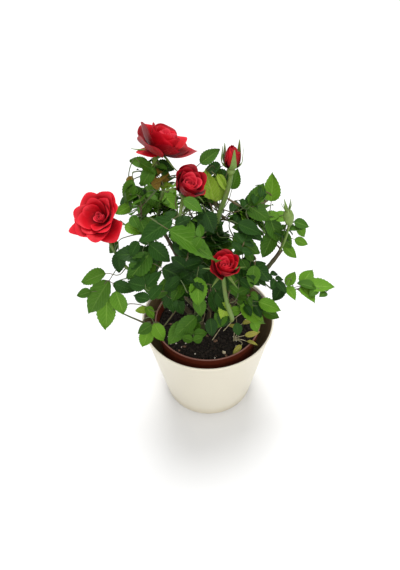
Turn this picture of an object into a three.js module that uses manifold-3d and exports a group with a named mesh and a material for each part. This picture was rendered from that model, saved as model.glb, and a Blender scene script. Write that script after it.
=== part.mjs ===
// A rose bush in its pot: a moulded cover pot, the nursery pot and soil inside it, canes,
// leafy masses, four open blooms, a bud and a hip on their stalks.
// Millimetres, +Z up, origin at the middle of the cover pot's flat underside; -Y is the front.

import * as THREE from "three";
import { mergeVertices } from "three/addons/utils/BufferGeometryUtils.js";
import Module from "manifold-3d";

const wasm = await Module();
wasm.setup();

// ---- driving dimensions ----

const COVER = { height: 108, lip: 66, foot: 47, wall: 2, floor: 3, edge: 3.5, lipRoll: 2.2 };
const RING = { inner: 18, outer: 30, height: 6, slope: 2 }; // raised ring the nursery pot stands on
const NURSERY = { top: 105, rim: 53, foot: 38, wall: 1.3, rimHeight: 9, rimStep: 1.8 };
const SOIL = { level: 96, dome: 1.6, lumps: 0.7 };
const GAP = 0.35; // air left between pieces that touch
const CUT = 0.8; // how far a neighbour is swollen before it is cut out of a leafy mass

const POT_SIDES = 40;
const SOIL_SIDES = 30;
const CANE_SIDES = 7;
const STALK_SIDES = 6;
const STALK_STEPS = 6;
const LEAF_DETAIL = 2; // subdivision of the icosahedron behind each leafy mass
const BLOOM_SIDES = 15;

const CANE_ROOTING = 6; // how far below the soil's level a cane starts
const CANE_TAPER = 0.6; // tip radius of a cane as a share of its foot's
const STALK_TAPER = 0.85;
const PETAL_LOBES = 5; // outer petals that stand out round a bloom
const LOBE_DEPTH = 0.06; // how far they stand out, as a share of its radius
const LUMP_UNEVENNESS = 0.16; // share by which a leafy mass strays from an ellipsoid
const REACH_FOCUS = 6; // higher draws a mass out in a narrower point

// ---- materials ----

const finish = (color, roughness, metalness = 0) =>
  new THREE.MeshStandardMaterial({ color, roughness, metalness });

const CREAM_PLASTIC = finish(0xe6dfcb, 0.45);
const BROWN_PLASTIC = finish(0x5a2416, 0.35);
const POTTING_SOIL = finish(0x1d1712, 0.95);
const OLD_CANE = finish(0x3b3a22, 0.75);
const GREEN_STALK = finish(0x7d9a4a, 0.55);
const LEAF_GREEN = finish(0x2f6b26, 0.5);
const PETAL_RED = finish(0xb01018, 0.5);
const HIP_GREEN = finish(0x86a04c, 0.55);

// ---- solids ----

const root = new THREE.Group();

// A closed geometry as a solid, with the vertices that its seams and caps share made one.
function solidFrom(geometry) {
  geometry.deleteAttribute("normal");
  geometry.deleteAttribute("uv");
  const merged = mergeVertices(geometry, 1e-4);
  return new wasm.Manifold(
    new wasm.Mesh({
      numProp: 3,
      vertProperties: merged.attributes.position.array,
      triVerts: new Uint32Array(merged.index.array),
    }),
  );
}

function addNode(name, solid, material) {
  const mesh = solid.getMesh();
  const geometry = new THREE.BufferGeometry()
    .setAttribute("position", new THREE.BufferAttribute(mesh.vertProperties, 3))
    .setIndex(new THREE.BufferAttribute(mesh.triVerts, 1));
  geometry.computeVertexNormals();
  const node = new THREE.Mesh(geometry, material);
  node.name = name;
  root.add(node);
}

// The largest separate piece of a solid that a cut may have split.
function largest(solid) {
  return solid.decompose().sort((a, b) => b.volume() - a.volume())[0];
}

// The piece of a cut limb that still holds its lowest point.
function lowest(solid) {
  const floorOf = (s) => s.boundingBox().min[2];
  return solid.decompose().sort((a, b) => floorOf(a) - floorOf(b))[0];
}

// A profile of [radius, height] points turned about +Z.
function turned(profile, sides) {
  const lathe = new THREE.LatheGeometry(
    profile.map(([r, z]) => new THREE.Vector2(r, z)),
    sides,
  );
  return lathe.rotateX(Math.PI / 2);
}

// A quarter of a round edge in a profile, from one angle to another in degrees.
function arc(r, z, radius, from, to, steps = 3) {
  return Array.from({ length: steps + 1 }, (_, i) => {
    const a = THREE.MathUtils.degToRad(from + ((to - from) * i) / steps);
    return [r + radius * Math.cos(a), z + radius * Math.sin(a)];
  });
}

// A limb that tapers from its foot to its tip along a smooth curve through the points.
function limb(points, footRadius, tipRadius, sides, steps = 8) {
  const curve = new THREE.CatmullRomCurve3(points.map((p) => new THREE.Vector3(...p)));
  const frames = curve.computeFrenetFrames(steps);
  const geometry = new THREE.CylinderGeometry(1, 1, steps, sides, steps);
  const position = geometry.attributes.position;
  for (let i = 0; i < position.count; i++) {
    const step = Math.round(position.getY(i) + steps / 2);
    const along = step / steps;
    const radius = THREE.MathUtils.lerp(footRadius, tipRadius, along);
    const at = curve
      .getPointAt(along)
      .addScaledVector(frames.binormals[step], position.getX(i) * radius)
      .addScaledVector(frames.normals[step], position.getZ(i) * radius);
    position.setXYZ(i, at.x, at.y, at.z);
  }
  return solidFrom(geometry);
}

// Smooth unevenness from -1 to 1 for a direction, different for each seed.
function unevenness(direction, seed) {
  const a = Math.sin(3.1 * direction.x + 1.7 * seed) * Math.cos(2.7 * direction.y - 0.9 * seed);
  const b = Math.sin(4.3 * direction.z + 2.3 * seed + 1.9 * direction.x);
  const c = Math.cos(5.2 * direction.y + 3.1 * direction.z + 0.7 * seed);
  return (a + 0.7 * b + 0.5 * c) / 2.2;
}

// A leafy mass: an uneven lump with its own half-sizes, drawn out towards its leaf tips.
// Each reach is a direction and how many millimetres the lump is drawn out that way.
function leafyLump({ at, size, reach = [] }, seed, swell = 0) {
  const centre = new THREE.Vector3(...at);
  const half = new THREE.Vector3(...size);
  const geometry = new THREE.IcosahedronGeometry(1, LEAF_DETAIL);
  const position = geometry.attributes.position;
  for (let i = 0; i < position.count; i++) {
    const way = new THREE.Vector3().fromBufferAttribute(position, i);
    const point = way.clone().multiply(half);
    point.multiplyScalar(1 + LUMP_UNEVENNESS * unevenness(way, seed));
    const out = point.clone().normalize();
    for (const [x, y, z, length] of reach) {
      const towards = Math.max(0, out.dot(new THREE.Vector3(x, y, z).normalize()));
      point.addScaledVector(out, length * towards ** REACH_FOCUS);
    }
    point.addScaledVector(out, swell).add(centre);
    position.setXYZ(i, point.x, point.y, point.z);
  }
  return solidFrom(geometry);
}

// A profile turned about its own axis, with lobed petals, then set to face a direction.
function turnedToFace({ at, facing, profile, lobes = 0, lobeDepth = 0, sides }, swell = 0) {
  const geometry = turned(profile, sides);
  const position = geometry.attributes.position;
  for (let i = 0; i < position.count; i++) {
    const x = position.getX(i);
    const y = position.getY(i);
    const ring = Math.hypot(x, y);
    const wave = 1 + lobeDepth * Math.cos(lobes * Math.atan2(y, x));
    const grown = ring > 1e-6 ? wave + swell / ring : 1;
    const z = position.getZ(i);
    position.setXYZ(i, x * grown, y * grown, z + Math.sign(z) * swell);
  }
  const up = new THREE.Vector3(0, 0, 1);
  const turn = new THREE.Quaternion().setFromUnitVectors(
    up,
    new THREE.Vector3(...facing).normalize(),
  );
  geometry.applyQuaternion(turn).translate(...at);
  return solidFrom(geometry);
}

// ---- the pots and the soil ----

// Outer radius of the cover pot's conical wall at a height.
const coverRadius = (z) => COVER.foot + ((COVER.lip - COVER.foot) * z) / COVER.height;

function coverPot() {
  const { height, lip, foot, wall, floor, edge, lipRoll } = COVER;
  const inside = coverRadius(floor) - wall;
  return solidFrom(
    turned(
      [
        [0, 0],
        ...arc(foot - edge + 0.6, edge, edge, -90, -10),
        [lip - 0.6, height - lipRoll],
        ...arc(lip - lipRoll / 2, height - lipRoll / 2, lipRoll / 2, 0, 180),
        [inside, floor + 1],
        [inside - 1, floor],
        [RING.outer + RING.slope, floor],
        [RING.outer, floor + RING.height],
        [RING.inner, floor + RING.height],
        [RING.inner - RING.slope, floor],
        [0, floor],
      ],
      POT_SIDES,
    ),
  );
}

const nurseryFloor = COVER.floor + RING.height + GAP;
const nurserySlope = (NURSERY.rim - NURSERY.rimStep - NURSERY.foot) / (NURSERY.top - nurseryFloor);
const nurseryRadius = (z) => NURSERY.foot + nurserySlope * (z - nurseryFloor);

function nurseryPot() {
  const { top, rim, foot, wall, rimHeight, rimStep } = NURSERY;
  const under = top - rimHeight;
  return solidFrom(
    turned(
      [
        [0, nurseryFloor],
        [foot - 1, nurseryFloor],
        [foot, nurseryFloor + 1],
        [nurseryRadius(under), under],
        [rim - 0.8, under + 0.6],
        [rim, top - 0.8],
        [rim - 0.4, top],
        [rim - wall, top],
        [rim - wall - 0.4, top - 1],
        [nurseryRadius(under) - wall + rimStep / 2, under - 1],
        [foot - wall, nurseryFloor + wall + 0.6],
        [foot - wall - 0.6, nurseryFloor + wall],
        [0, nurseryFloor + wall],
      ],
      POT_SIDES,
    ),
  );
}

function pottingSoil(raise = 0) {
  const base = nurseryFloor + NURSERY.wall + GAP;
  const side = nurseryRadius(SOIL.level) - NURSERY.wall - GAP - 0.5;
  const ring = (share) => [side * share, SOIL.level + SOIL.dome * (1 - share * share)];
  const geometry = turned(
    [
      [0, base],
      [NURSERY.foot - NURSERY.wall - GAP - 1.2, base],
      [side, SOIL.level],
      ...[0.8, 0.55, 0.3].map(ring),
      [0, SOIL.level + SOIL.dome],
    ],
    SOIL_SIDES,
  );
  const position = geometry.attributes.position;
  for (let i = 0; i < position.count; i++) {
    const x = position.getX(i);
    const y = position.getY(i);
    const z = position.getZ(i);
    const fromSide = Math.hypot(x, y) < side - 1 && z > SOIL.level;
    if (fromSide) position.setZ(i, z + SOIL.lumps * Math.sin(0.31 * x + 1) * Math.cos(0.27 * y));
  }
  geometry.translate(0, 0, raise);
  return solidFrom(geometry);
}

// ---- the plant ----

const caneStart = SOIL.level - CANE_ROOTING;

// Half-section of an open bloom, from the calyx over the rim of petals down to the bud centre.
const bloomProfile = (radius, depth) => [
  [0, -depth],
  [0.22 * radius, -0.92 * depth],
  [0.45 * radius, -0.7 * depth],
  [0.85 * radius, -0.2 * depth],
  [radius, 0.12 * depth],
  [0.86 * radius, 0.26 * depth],
  [0.6 * radius, 0.2 * depth],
  [0.36 * radius, 0.28 * depth],
  [0, 0.34 * depth],
];

const budProfile = (radius, length) => [
  [0, -0.4 * length],
  [0.5 * radius, -0.36 * length],
  [radius, -0.1 * length],
  [0.86 * radius, 0.15 * length],
  [0.4 * radius, 0.38 * length],
  [0, 0.6 * length],
];

const blooms = {
  bloom_left: {
    at: [-88, -12, 246], facing: [-0.3, -0.55, 0.78], radius: 22, depth: 18,
  },
  bloom_top: {
    at: [-33, 27, 294], facing: [0.37, 0.45, 0.8], radius: 22, depth: 15,
  },
  bloom_middle: {
    at: [-13, 5, 266], facing: [0.25, -0.55, 0.8], radius: 16.5, depth: 17,
  },
  bloom_front: {
    at: [14, -40, 217], facing: [0.05, -0.4, 0.92], radius: 14.5, depth: 14,
  },
};
for (const bloom of Object.values(blooms)) {
  bloom.profile = bloomProfile(bloom.radius, bloom.depth);
  bloom.lobes = PETAL_LOBES;
  bloom.lobeDepth = LOBE_DEPTH;
  bloom.sides = BLOOM_SIDES;
}

const buds = {
  bud_top: { at: [21, 6, 284], facing: [0.06, 0.05, 1], profile: budProfile(7.5, 34), sides: 10 },
  hip_right: { at: [66, -13, 240], facing: [-0.2, 0.1, 1], profile: budProfile(4.8, 20), sides: 8 },
};

// Leafy masses, front ones first. "at" is the middle, "size" the half-sizes.
const masses = {
  left_spray: {
    at: [-89, -40, 182], size: [15, 11, 27],
    reach: [[0.1, -0.1, -1, 10], [-1, 0, 0.3, 6], [0.6, 0.1, 0.7, 5]],
  },
  left_shoulder: { at: [-56, -36, 205], size: [22, 14, 18], reach: [[0, -0.4, -1, 5]] },
  left_middle: { at: [-53, -14, 229], size: [16, 11, 10], reach: [[1, 0, 0, 5]] },
  left_upper: { at: [-62, 6, 246], size: [16, 12, 17], reach: [[-0.8, 0, 0.8, 5]] },
  top_left: { at: [-42, 18, 262], size: [19, 13, 12], reach: [[-1, 0, 0.5, 5]] },
  crown_front: {
    at: [-18, -34, 244], size: [32, 11, 16],
    reach: [[1, -0.2, -0.8, 7]],
  },
  crown_top: { at: [10, 24, 258], size: [20, 13, 17], reach: [[0.3, 0, 1, 5]] },
  right_upper: { at: [40, 2, 242], size: [15, 12, 17], reach: [[0.7, 0, 0.7, 6]] },
  right_peak: { at: [55, 10, 246], size: [8, 7, 15], reach: [[0.1, 0, 1, 5]] },
  right_side: { at: [68, 2, 210], size: [19, 13, 21], reach: [[1, -0.2, 0.6, 6]] },
  right_middle: { at: [36, -12, 218], size: [17, 12, 13] },
  right_spray: {
    at: [89, -24, 176], size: [18, 12, 16],
    reach: [[1, -0.1, 0.2, 5], [0.5, -0.4, -1, 8], [0, 0, 1, 5]],
  },
  right_branch: { at: [66, -26, 172], size: [11, 10, 14] },
  front_right: { at: [38, -32, 196], size: [19, 13, 17], reach: [[-0.5, 0, -0.7, 3]] },
  front_left: { at: [-24, -46, 198], size: [25, 12, 18], reach: [[0.8, 0, -0.7, 6]] },
  low_right: { at: [42, -36, 152], size: [24, 13, 14], reach: [[1, 0, 0.1, 7]] },
  low_front: { at: [-16, -42, 148], size: [24, 11, 19], reach: [[-0.5, -0.3, -1, 8]] },
  low_left: {
    at: [-52, -42, 140], size: [16, 12, 17],
    reach: [[-0.5, -0.5, -1, 6], [0.6, -0.4, -0.8, 5]],
  },
  heart: { at: [0, 8, 192], size: [33, 23, 34] },
  left_back: { at: [-50, 50, 204], size: [27, 22, 30], reach: [[-0.8, 0.4, 0.6, 8]] },
  right_back: { at: [44, 46, 190], size: [25, 21, 27], reach: [[0.8, 0.4, 0.2, 6]] },
  middle_back: { at: [-2, 68, 200], size: [24, 18, 30], reach: [[0, 1, 0.4, 6]] },
  low_back: { at: [2, 46, 146], size: [34, 18, 15], reach: [[0, 1, 0, 6]] },
};

// Canes rise from one crown in the soil; each ends where it enters the leaves.
const canes = {
  cane_left: { path: [[-9, 2], [-22, -8, 130], [-40, -22, 168], [-56, -34, 196]], foot: 2.9 },
  cane_front: { path: [[-4, -7], [-9, -14, 130], [-18, -30, 164], [-24, -42, 190]], foot: 2.3 },
  cane_middle: { path: [[0, 1], [3, 2, 126], [2, 6, 150], [0, 8, 176]], foot: 3.3 },
  cane_right: { path: [[9, 0], [22, -6, 130], [44, -10, 166], [66, -8, 204]], foot: 3.0 },
  cane_front_right: { path: [[6, -8], [15, -16, 132], [28, -26, 166], [38, -32, 190]], foot: 2.4 },
  cane_left_back: { path: [[-6, 9], [-16, 20, 132], [-34, 38, 168], [-50, 50, 196]], foot: 2.7 },
  cane_right_back: { path: [[6, 9], [16, 22, 130], [32, 36, 160], [44, 46, 184]], foot: 2.6 },
};

// Stalks run from inside a leafy mass up to the flower, and stop at each.
const stalks = {
  stalk_left: { flower: "bloom_left", from: [[-69, -28, 206], [-80, -18, 219]], radius: 1.6 },
  stalk_top: { flower: "bloom_top", from: [[-46, 14, 262], [-42, 18, 274]], radius: 1.9 },
  stalk_middle: { flower: "bloom_middle", from: [[-22, -22, 240], [-20, -8, 250]], radius: 1.5 },
  stalk_front: { flower: "bloom_front", from: [[20, -44, 160], [15, -42, 182]], radius: 2.2 },
  stalk_bud: { flower: "bud_top", from: [[14, 8, 240], [18, 6, 255]], radius: 2.4 },
  stalk_hip: { flower: "hip_right", from: [[66, -8, 212], [67, -12, 222]], radius: 1.2 },
};

const flowers = { ...blooms, ...buds };
const flowerSolids = new Map(
  Object.entries(flowers).map(([name, flower]) => [name, turnedToFace(flower)]),
);
const swollenFlowers = Object.values(flowers).map((flower) => turnedToFace(flower, CUT));

// Each mass gives way to the flowers and to the masses before it.
const massSolids = new Map();
const swollenMasses = [];
Object.entries(masses).forEach(([name, mass], seed) => {
  let solid = leafyLump(mass, seed);
  for (const other of [...swollenFlowers, ...swollenMasses]) solid = solid.subtract(other);
  massSolids.set(name, largest(solid));
  swollenMasses.push(leafyLump(mass, seed, CUT));
});

const raisedSoil = pottingSoil(GAP);
const caneSolids = new Map();
Object.entries(canes).forEach(([name, { path, foot }]) => {
  const [[x, y], ...rest] = path;
  let solid = limb([[x, y, caneStart], ...rest], foot, foot * CANE_TAPER, CANE_SIDES);
  solid = solid.subtract(raisedSoil);
  for (const other of swollenMasses) solid = solid.subtract(other);
  for (const other of caneSolids.values()) solid = solid.subtract(other);
  caneSolids.set(name, lowest(solid));
});

// Where a stalk meets its flower: a little inside the calyx.
function calyxOf({ at, facing, profile }) {
  const lowestHeight = Math.min(...profile.map(([, z]) => z));
  const way = new THREE.Vector3(...facing).normalize();
  return new THREE.Vector3(...at).addScaledVector(way, lowestHeight + 1).toArray();
}

const stalkSolids = new Map();
Object.entries(stalks).forEach(([name, { flower, from, radius }]) => {
  const path = [...from, calyxOf(flowers[flower])];
  let solid = limb(path, radius, radius * STALK_TAPER, STALK_SIDES, STALK_STEPS);
  for (const other of [...swollenFlowers, ...swollenMasses]) solid = solid.subtract(other);
  stalkSolids.set(name, largest(solid));
});

addNode("cover_pot", coverPot(), CREAM_PLASTIC);
addNode("nursery_pot", nurseryPot(), BROWN_PLASTIC);
addNode("soil", pottingSoil(), POTTING_SOIL);
for (const [name, solid] of caneSolids) addNode(name, solid, OLD_CANE);
for (const [name, solid] of stalkSolids) addNode(name, solid, GREEN_STALK);
for (const [name, solid] of massSolids) addNode("leaves_" + name, solid, LEAF_GREEN);
for (const [name, solid] of flowerSolids)
  addNode(name, solid, name === "hip_right" ? HIP_GREEN : PETAL_RED);

export default root;
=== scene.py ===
# %% [markdown]
# # A rose bush in its pot
# A small red rose with four open blooms, a bud and a spent bud, growing in a thin brown nursery
# pot that stands in a cream cover pot. The frame gives every size and place: the pots, canes,
# flowers and leafy masses are solids there, and each is replaced here by what it really is.
# Sizes in the code are in metres. Sizes that are easier to read in millimetres are times MM.

# %% Load the frame
import math
import random

import bmesh
import bpy
import numpy as np
from mathutils import Matrix, Vector, geometry, noise


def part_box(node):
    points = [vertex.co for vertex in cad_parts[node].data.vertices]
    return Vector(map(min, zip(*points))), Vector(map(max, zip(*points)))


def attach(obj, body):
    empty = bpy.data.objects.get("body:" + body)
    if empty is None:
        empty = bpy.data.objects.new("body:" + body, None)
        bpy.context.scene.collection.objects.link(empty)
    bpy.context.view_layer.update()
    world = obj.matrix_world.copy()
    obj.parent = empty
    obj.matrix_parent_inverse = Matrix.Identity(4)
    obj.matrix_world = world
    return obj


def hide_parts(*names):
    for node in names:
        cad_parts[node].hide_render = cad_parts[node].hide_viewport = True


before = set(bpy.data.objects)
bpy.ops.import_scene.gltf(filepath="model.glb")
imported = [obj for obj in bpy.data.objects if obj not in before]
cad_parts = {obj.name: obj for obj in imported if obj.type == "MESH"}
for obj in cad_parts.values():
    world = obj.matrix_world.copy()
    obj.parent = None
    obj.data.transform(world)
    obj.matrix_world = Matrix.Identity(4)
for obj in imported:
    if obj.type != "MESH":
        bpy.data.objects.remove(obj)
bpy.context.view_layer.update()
MM = 0.001

# %% [markdown]
# ## Camera, floor and light
# The plant is seen from in front and well above, so the camera looks down at about 45 degrees on
# the soil and the blooms. It is placed from the pot's rim, by its distance and its height angle.
# The light is a studio's: a pale floor and a pale sky fill every shadow, a broad sun above and
# behind draws the soft shadow towards the viewer, and a weaker panel in front keeps the pot
# bright. A second panel could take the sun's place, but it would leave the far floor grey.

# %% Camera
pot_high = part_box("cover_pot")[1]
RIM_HEIGHT = pot_high.z
CAMERA_DISTANCE = 0.540
CAMERA_HEIGHT_ANGLE = math.radians(48.5)
LOOK_DOWN = math.radians(45.2)
LOOK_LEFT = math.radians(-1.1)
HEAD_TILT = math.radians(-1.7)
FOCAL_LENGTH, LONG_SIDE = 34.04, 36  # mm: the lens, and the long side of the picture behind it

scene = bpy.context.scene
for name in ("Cube", "Light", "Camera"):
    if name in bpy.data.objects:
        bpy.data.objects.remove(bpy.data.objects[name])


def camera_axes():
    """Right, up and forward of a camera that looks down, a little aside, with its head tilted."""
    forward = Vector((math.sin(LOOK_LEFT) * math.cos(LOOK_DOWN),
                      math.cos(LOOK_LEFT) * math.cos(LOOK_DOWN), -math.sin(LOOK_DOWN)))
    level = Vector((math.cos(LOOK_LEFT), -math.sin(LOOK_LEFT), 0))
    steep = level.cross(forward)
    right = math.cos(HEAD_TILT) * level + math.sin(HEAD_TILT) * steep
    up = math.cos(HEAD_TILT) * steep - math.sin(HEAD_TILT) * level
    return right, up, forward


right, up, forward = camera_axes()
camera = bpy.data.objects.new("camera", bpy.data.cameras.new("camera"))
camera.data.lens = FOCAL_LENGTH
camera.data.sensor_width = LONG_SIDE
camera.data.clip_start = 0.01
place = Matrix((right, up, -forward)).transposed().to_4x4()
place.translation = (0, -CAMERA_DISTANCE * math.cos(CAMERA_HEIGHT_ANGLE),
                     RIM_HEIGHT + CAMERA_DISTANCE * math.sin(CAMERA_HEIGHT_ANGLE))
camera.matrix_world = place
scene.collection.objects.link(camera)
scene.camera = camera
print("camera at", [round(c, 3) for c in place.translation])

# %% Light
SKY_STRENGTH = 0.58
scene.view_settings.view_transform = "Standard"
world = bpy.data.worlds.new("studio")
world.use_nodes = True
world.node_tree.nodes["Background"].inputs["Color"].default_value = (1, 1, 1, 1)
world.node_tree.nodes["Background"].inputs["Strength"].default_value = SKY_STRENGTH
scene.world = world


def aimed_light(name, kind, place, aim, energy):
    """A light of one kind, whose rays run from its place to the point it is aimed at."""
    light = bpy.data.objects.new(name, bpy.data.lights.new(name, kind))
    light.data.energy = energy
    light.location = place
    light.rotation_euler = (aim - Vector(place)).to_track_quat("-Z", "Y").to_euler()
    scene.collection.objects.link(light)
    return light.data


crown_middle = sum(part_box("leaves_heart"), Vector()) / 2
sun = aimed_light("broad_sun", "SUN", (-0.03, 0.46, 1.45), crown_middle, 2.6)
sun.angle = math.radians(30)  # a wide source, so its shadow has a soft edge
panel = aimed_light("front_panel", "AREA", (0.25, -1.1, 1.2), crown_middle, 11.0)
panel.size = 0.9
print("sky", SKY_STRENGTH, "and", len(bpy.data.lights), "lights")

# %% [markdown]
# ## A way to write materials
# A material is a sum of small patterns, which is hard to read as a list of nodes and links.
# The Wire class below wraps a socket and gives it Python's own signs, so that a pattern reads
# like the sum that it is. Shader makes one material and adds any other node by its type.

# %% Wire and Shader
class Wire:
    """A number or colour that leaves a node, which + - and * build on."""

    def __init__(self, shader, socket):
        self.shader = shader
        self.socket = socket

    def _math(self, operation, first, second):
        return self.shader.add("ShaderNodeMath", {"operation": operation}, {0: first, 1: second})

    def __add__(self, other):
        return self._math("ADD", self, other)

    def __radd__(self, other):
        return self._math("ADD", other, self)

    def __sub__(self, other):
        return self._math("SUBTRACT", self, other)

    def __rsub__(self, other):
        return self._math("SUBTRACT", other, self)

    def __mul__(self, other):
        return self._math("MULTIPLY", self, other)

    def __rmul__(self, other):
        return self._math("MULTIPLY", other, self)


class Shader:
    """One node material around a Principled shader."""

    def __init__(self, name, **constants):
        self.material = bpy.data.materials.new(name)
        self.material.use_nodes = True
        self.tree = self.material.node_tree
        self.surface = self.tree.nodes["Principled BSDF"]
        for socket, value in constants.items():
            self.surface.inputs[socket.replace("_", " ")].default_value = value

    def add(self, kind, settings=None, inputs=None, output=0):
        """Adds a node of any type: its settings first, then the values or wires of its inputs."""
        node = self.tree.nodes.new(kind)
        for setting, value in (settings or {}).items():
            setattr(node, setting, value)
        for socket, value in (inputs or {}).items():
            self.feed(node.inputs[socket], value)
        return Wire(self, node.outputs[output])

    def feed(self, socket, value):
        """Links a wire to a socket, or sets the socket to a value."""
        if isinstance(value, Wire):
            self.tree.links.new(value.socket, socket)
        elif socket.type == "RGBA" and len(value) == 3:
            socket.default_value = (*value, 1)
        else:
            socket.default_value = value

    def set(self, **inputs):
        """Feeds the Principled shader's own inputs, named with _ for each space."""
        for socket, value in inputs.items():
            self.feed(self.surface.inputs[socket.replace("_", " ")], value)
        return self.material

    def mix(self, factor, first, second):
        """A colour that goes from the first to the second as the factor goes from 0 to 1."""
        return self.add("ShaderNodeMix", {"data_type": "RGBA", "clamp_factor": True},
                        {0: factor, 6: first, 7: second}, output=2)

    def place(self, stretch=(1, 1, 1)):
        """The point's own place on the object in metres, stretched."""
        point = self.add("ShaderNodeTexCoord", output=3)
        return self.add("ShaderNodeMapping", None, {"Vector": point, "Scale": stretch})

    def noise(self, scale, detail=2.0, rough=0.5, at=None):
        """Soft lumps, as many to a metre as the scale says."""
        at = at or self.place()
        return self.add("ShaderNodeTexNoise", None, {
            "Vector": at, "Scale": scale, "Detail": detail, "Roughness": rough})

    def between(self, value, low, high):
        """0 under low, 1 over high, and a smooth slope between."""
        return self.add("ShaderNodeMapRange",
                        {"interpolation_type": "SMOOTHSTEP", "clamp": True},
                        {"Value": value, "From Min": low, "From Max": high})

    def bump(self, height, depth, strength=1.0):
        """A normal tilted by a height pattern of that depth in metres."""
        return self.add("ShaderNodeBump", None,
                        {"Height": height, "Distance": depth, "Strength": strength})


print("Wire and Shader are ready")

# %% [markdown]
# ## Helpers for pieces
# Every piece ends the same way: its mesh becomes an object at the origin, gets its finish, rides on
# the one body and hides the solids of the frame that it stands for.

# %% Make a piece
def piece(name, mesh, finishes, replaces=(), sharp=40):
    """An object at the origin from a finished mesh, on the body, in place of frame nodes."""
    made = bpy.data.objects.new(name, mesh)
    scene.collection.objects.link(made)
    for finish in finishes:
        mesh.materials.append(finish)
    for polygon in mesh.polygons:
        polygon.use_smooth = True
    mesh.set_sharp_from_angle(angle=math.radians(sharp))
    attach(made, "root")
    if replaces:
        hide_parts(*replaces)
    print(name, len(mesh.polygons), "faces")
    return made


def arc(r, z, radius, start, end, steps):
    """Points of a round edge in a half section, between two angles in degrees."""
    angles = [math.radians(start + (end - start) * i / steps) for i in range(steps + 1)]
    return [(r + radius * math.cos(a), z + radius * math.sin(a)) for a in angles]


def spun(name, section, sides=144):
    """A round wall: a half section of (radius, height) points turned once about the middle."""
    shape = bmesh.new()
    line = [shape.verts.new((r, 0, z)) for r, z in section]
    edges = [shape.edges.new(pair) for pair in zip(line, line[1:])]
    bmesh.ops.spin(shape, geom=line + edges, cent=(0, 0, 0), axis=(0, 0, 1),
                   angle=math.tau, steps=sides, use_merge=True)
    bmesh.ops.remove_doubles(shape, verts=shape.verts, dist=1e-6)
    bmesh.ops.recalc_face_normals(shape, faces=shape.faces)
    mesh = bpy.data.meshes.new(name)
    shape.to_mesh(mesh)
    shape.free()
    return mesh


# %% [markdown]
# ## The cover pot
# The outer pot is one moulding of cream plastic: a cone with a flat foot, a rounded bottom edge
# and a thin rolled lip. It could be a cylinder with bevels, but turning its half section once
# about the middle gives the wall its thickness, and the lip and foot their round edges, in one go.
# The outside is smooth and satin. The inside is painted darker and browner, as painted shade and a
# painted brown reflection for the dim gap between the two pots.

# %% Cream plastic
cream = Shader("cream_plastic", Specular_IOR_Level=0.42, Coat_Roughness=0.25)
cream_cloud = cream.noise(14, detail=3)
cream_grain = cream.noise(1800, detail=1)
cream_height = cream.add("ShaderNodeSeparateXYZ", None, {0: cream.place()}, output=2)
cream_foot = cream.between(cream_height, 0.0, 0.02)
cream_tone = cream.mix(cream_cloud, (0.735, 0.685, 0.555), (0.785, 0.735, 0.605))
cream_speck = cream.between(cream.noise(420, detail=2), 0.70, 0.76) * 0.25
cream_marked = cream.mix(cream_speck, cream_tone, (0.50, 0.44, 0.31))
cream_paint = cream.set(
    Base_Color=cream.mix(cream_foot, (0.66, 0.59, 0.44), cream_marked),
    Roughness=0.34 + 0.16 * cream_cloud,
    Normal=cream.bump(cream_grain * 0.4 + cream_cloud, 0.0002, 0.5))

# Painted shade: the inside is painted a dark brown, standing in for the shade and the nursery pot's
# brown reflection in the gap between the pots.
inside = Shader("cover_pot_inside_painted_shade", Specular_IOR_Level=0.3)
inside_cloud = inside.noise(22, detail=4)
inside_painted_shade = inside.set(
    Base_Color=inside.mix(inside_cloud, (0.20, 0.145, 0.065), (0.31, 0.235, 0.12)),
    Roughness=0.5 + 0.2 * inside_cloud,
    Normal=inside.bump(inside.noise(900), 0.0002, 0.4))
print("cream plastic and the brown inside are mixed")

# %% Cover pot
WALL = 2.0 * MM
LIP_RADIUS = pot_high.x
FOOT_SHARE = 0.712  # the pot narrows to this share of its lip
FOOT_RADIUS = FOOT_SHARE * LIP_RADIUS
FOOT_EDGE = 3.5 * MM
POT_FLOOR = 3.0 * MM
STANDING_RING = (18 * MM, 30 * MM, 6 * MM)  # inner and outer radius, height
INSIDE_SHADE_DROP = 2.5 * MM  # the painted shade starts this far under the lip


def cover_section():
    """The wall from the middle of its underside, up the outside, over the lip and down inside."""
    half_lip = WALL / 2
    lean = math.degrees(math.atan2(LIP_RADIUS - FOOT_RADIUS, RIM_HEIGHT))
    inner, outer, height = STANDING_RING
    wall_foot = FOOT_RADIUS - WALL
    return [
        (0, 0),
        *arc(FOOT_RADIUS - FOOT_EDGE, FOOT_EDGE, FOOT_EDGE, -90, -lean, 8),
        (LIP_RADIUS - 1.1 * MM, RIM_HEIGHT - 3.2 * MM),
        (LIP_RADIUS - 0.5 * MM, RIM_HEIGHT - 2.4 * MM),
        *arc(LIP_RADIUS - half_lip, RIM_HEIGHT - half_lip, half_lip, -20, 180, 10),
        (LIP_RADIUS - 2.2 * MM, RIM_HEIGHT - 4 * MM),
        *arc(wall_foot - 2 * MM, POT_FLOOR + 2 * MM, 2 * MM, 0, -90, 4),
        (outer + 2 * MM, POT_FLOOR),
        (outer, POT_FLOOR + height),
        (inner, POT_FLOOR + height),
        (inner - 2 * MM, POT_FLOOR),
        (0, POT_FLOOR),
    ]


cover_mesh = spun("cover_pot_skin", cover_section())
piece("cover_pot_skin", cover_mesh, [cream_paint, inside_painted_shade], ["cover_pot"])
# Inner faces from a little under the lip down get the painted shade finish.
for polygon in cover_mesh.polygons:
    middle = polygon.center
    outwards = Vector((middle.x, middle.y, 0)).dot(polygon.normal)
    if outwards < 0 and middle.z < RIM_HEIGHT - INSIDE_SHADE_DROP:
        polygon.material_index = 1
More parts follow.
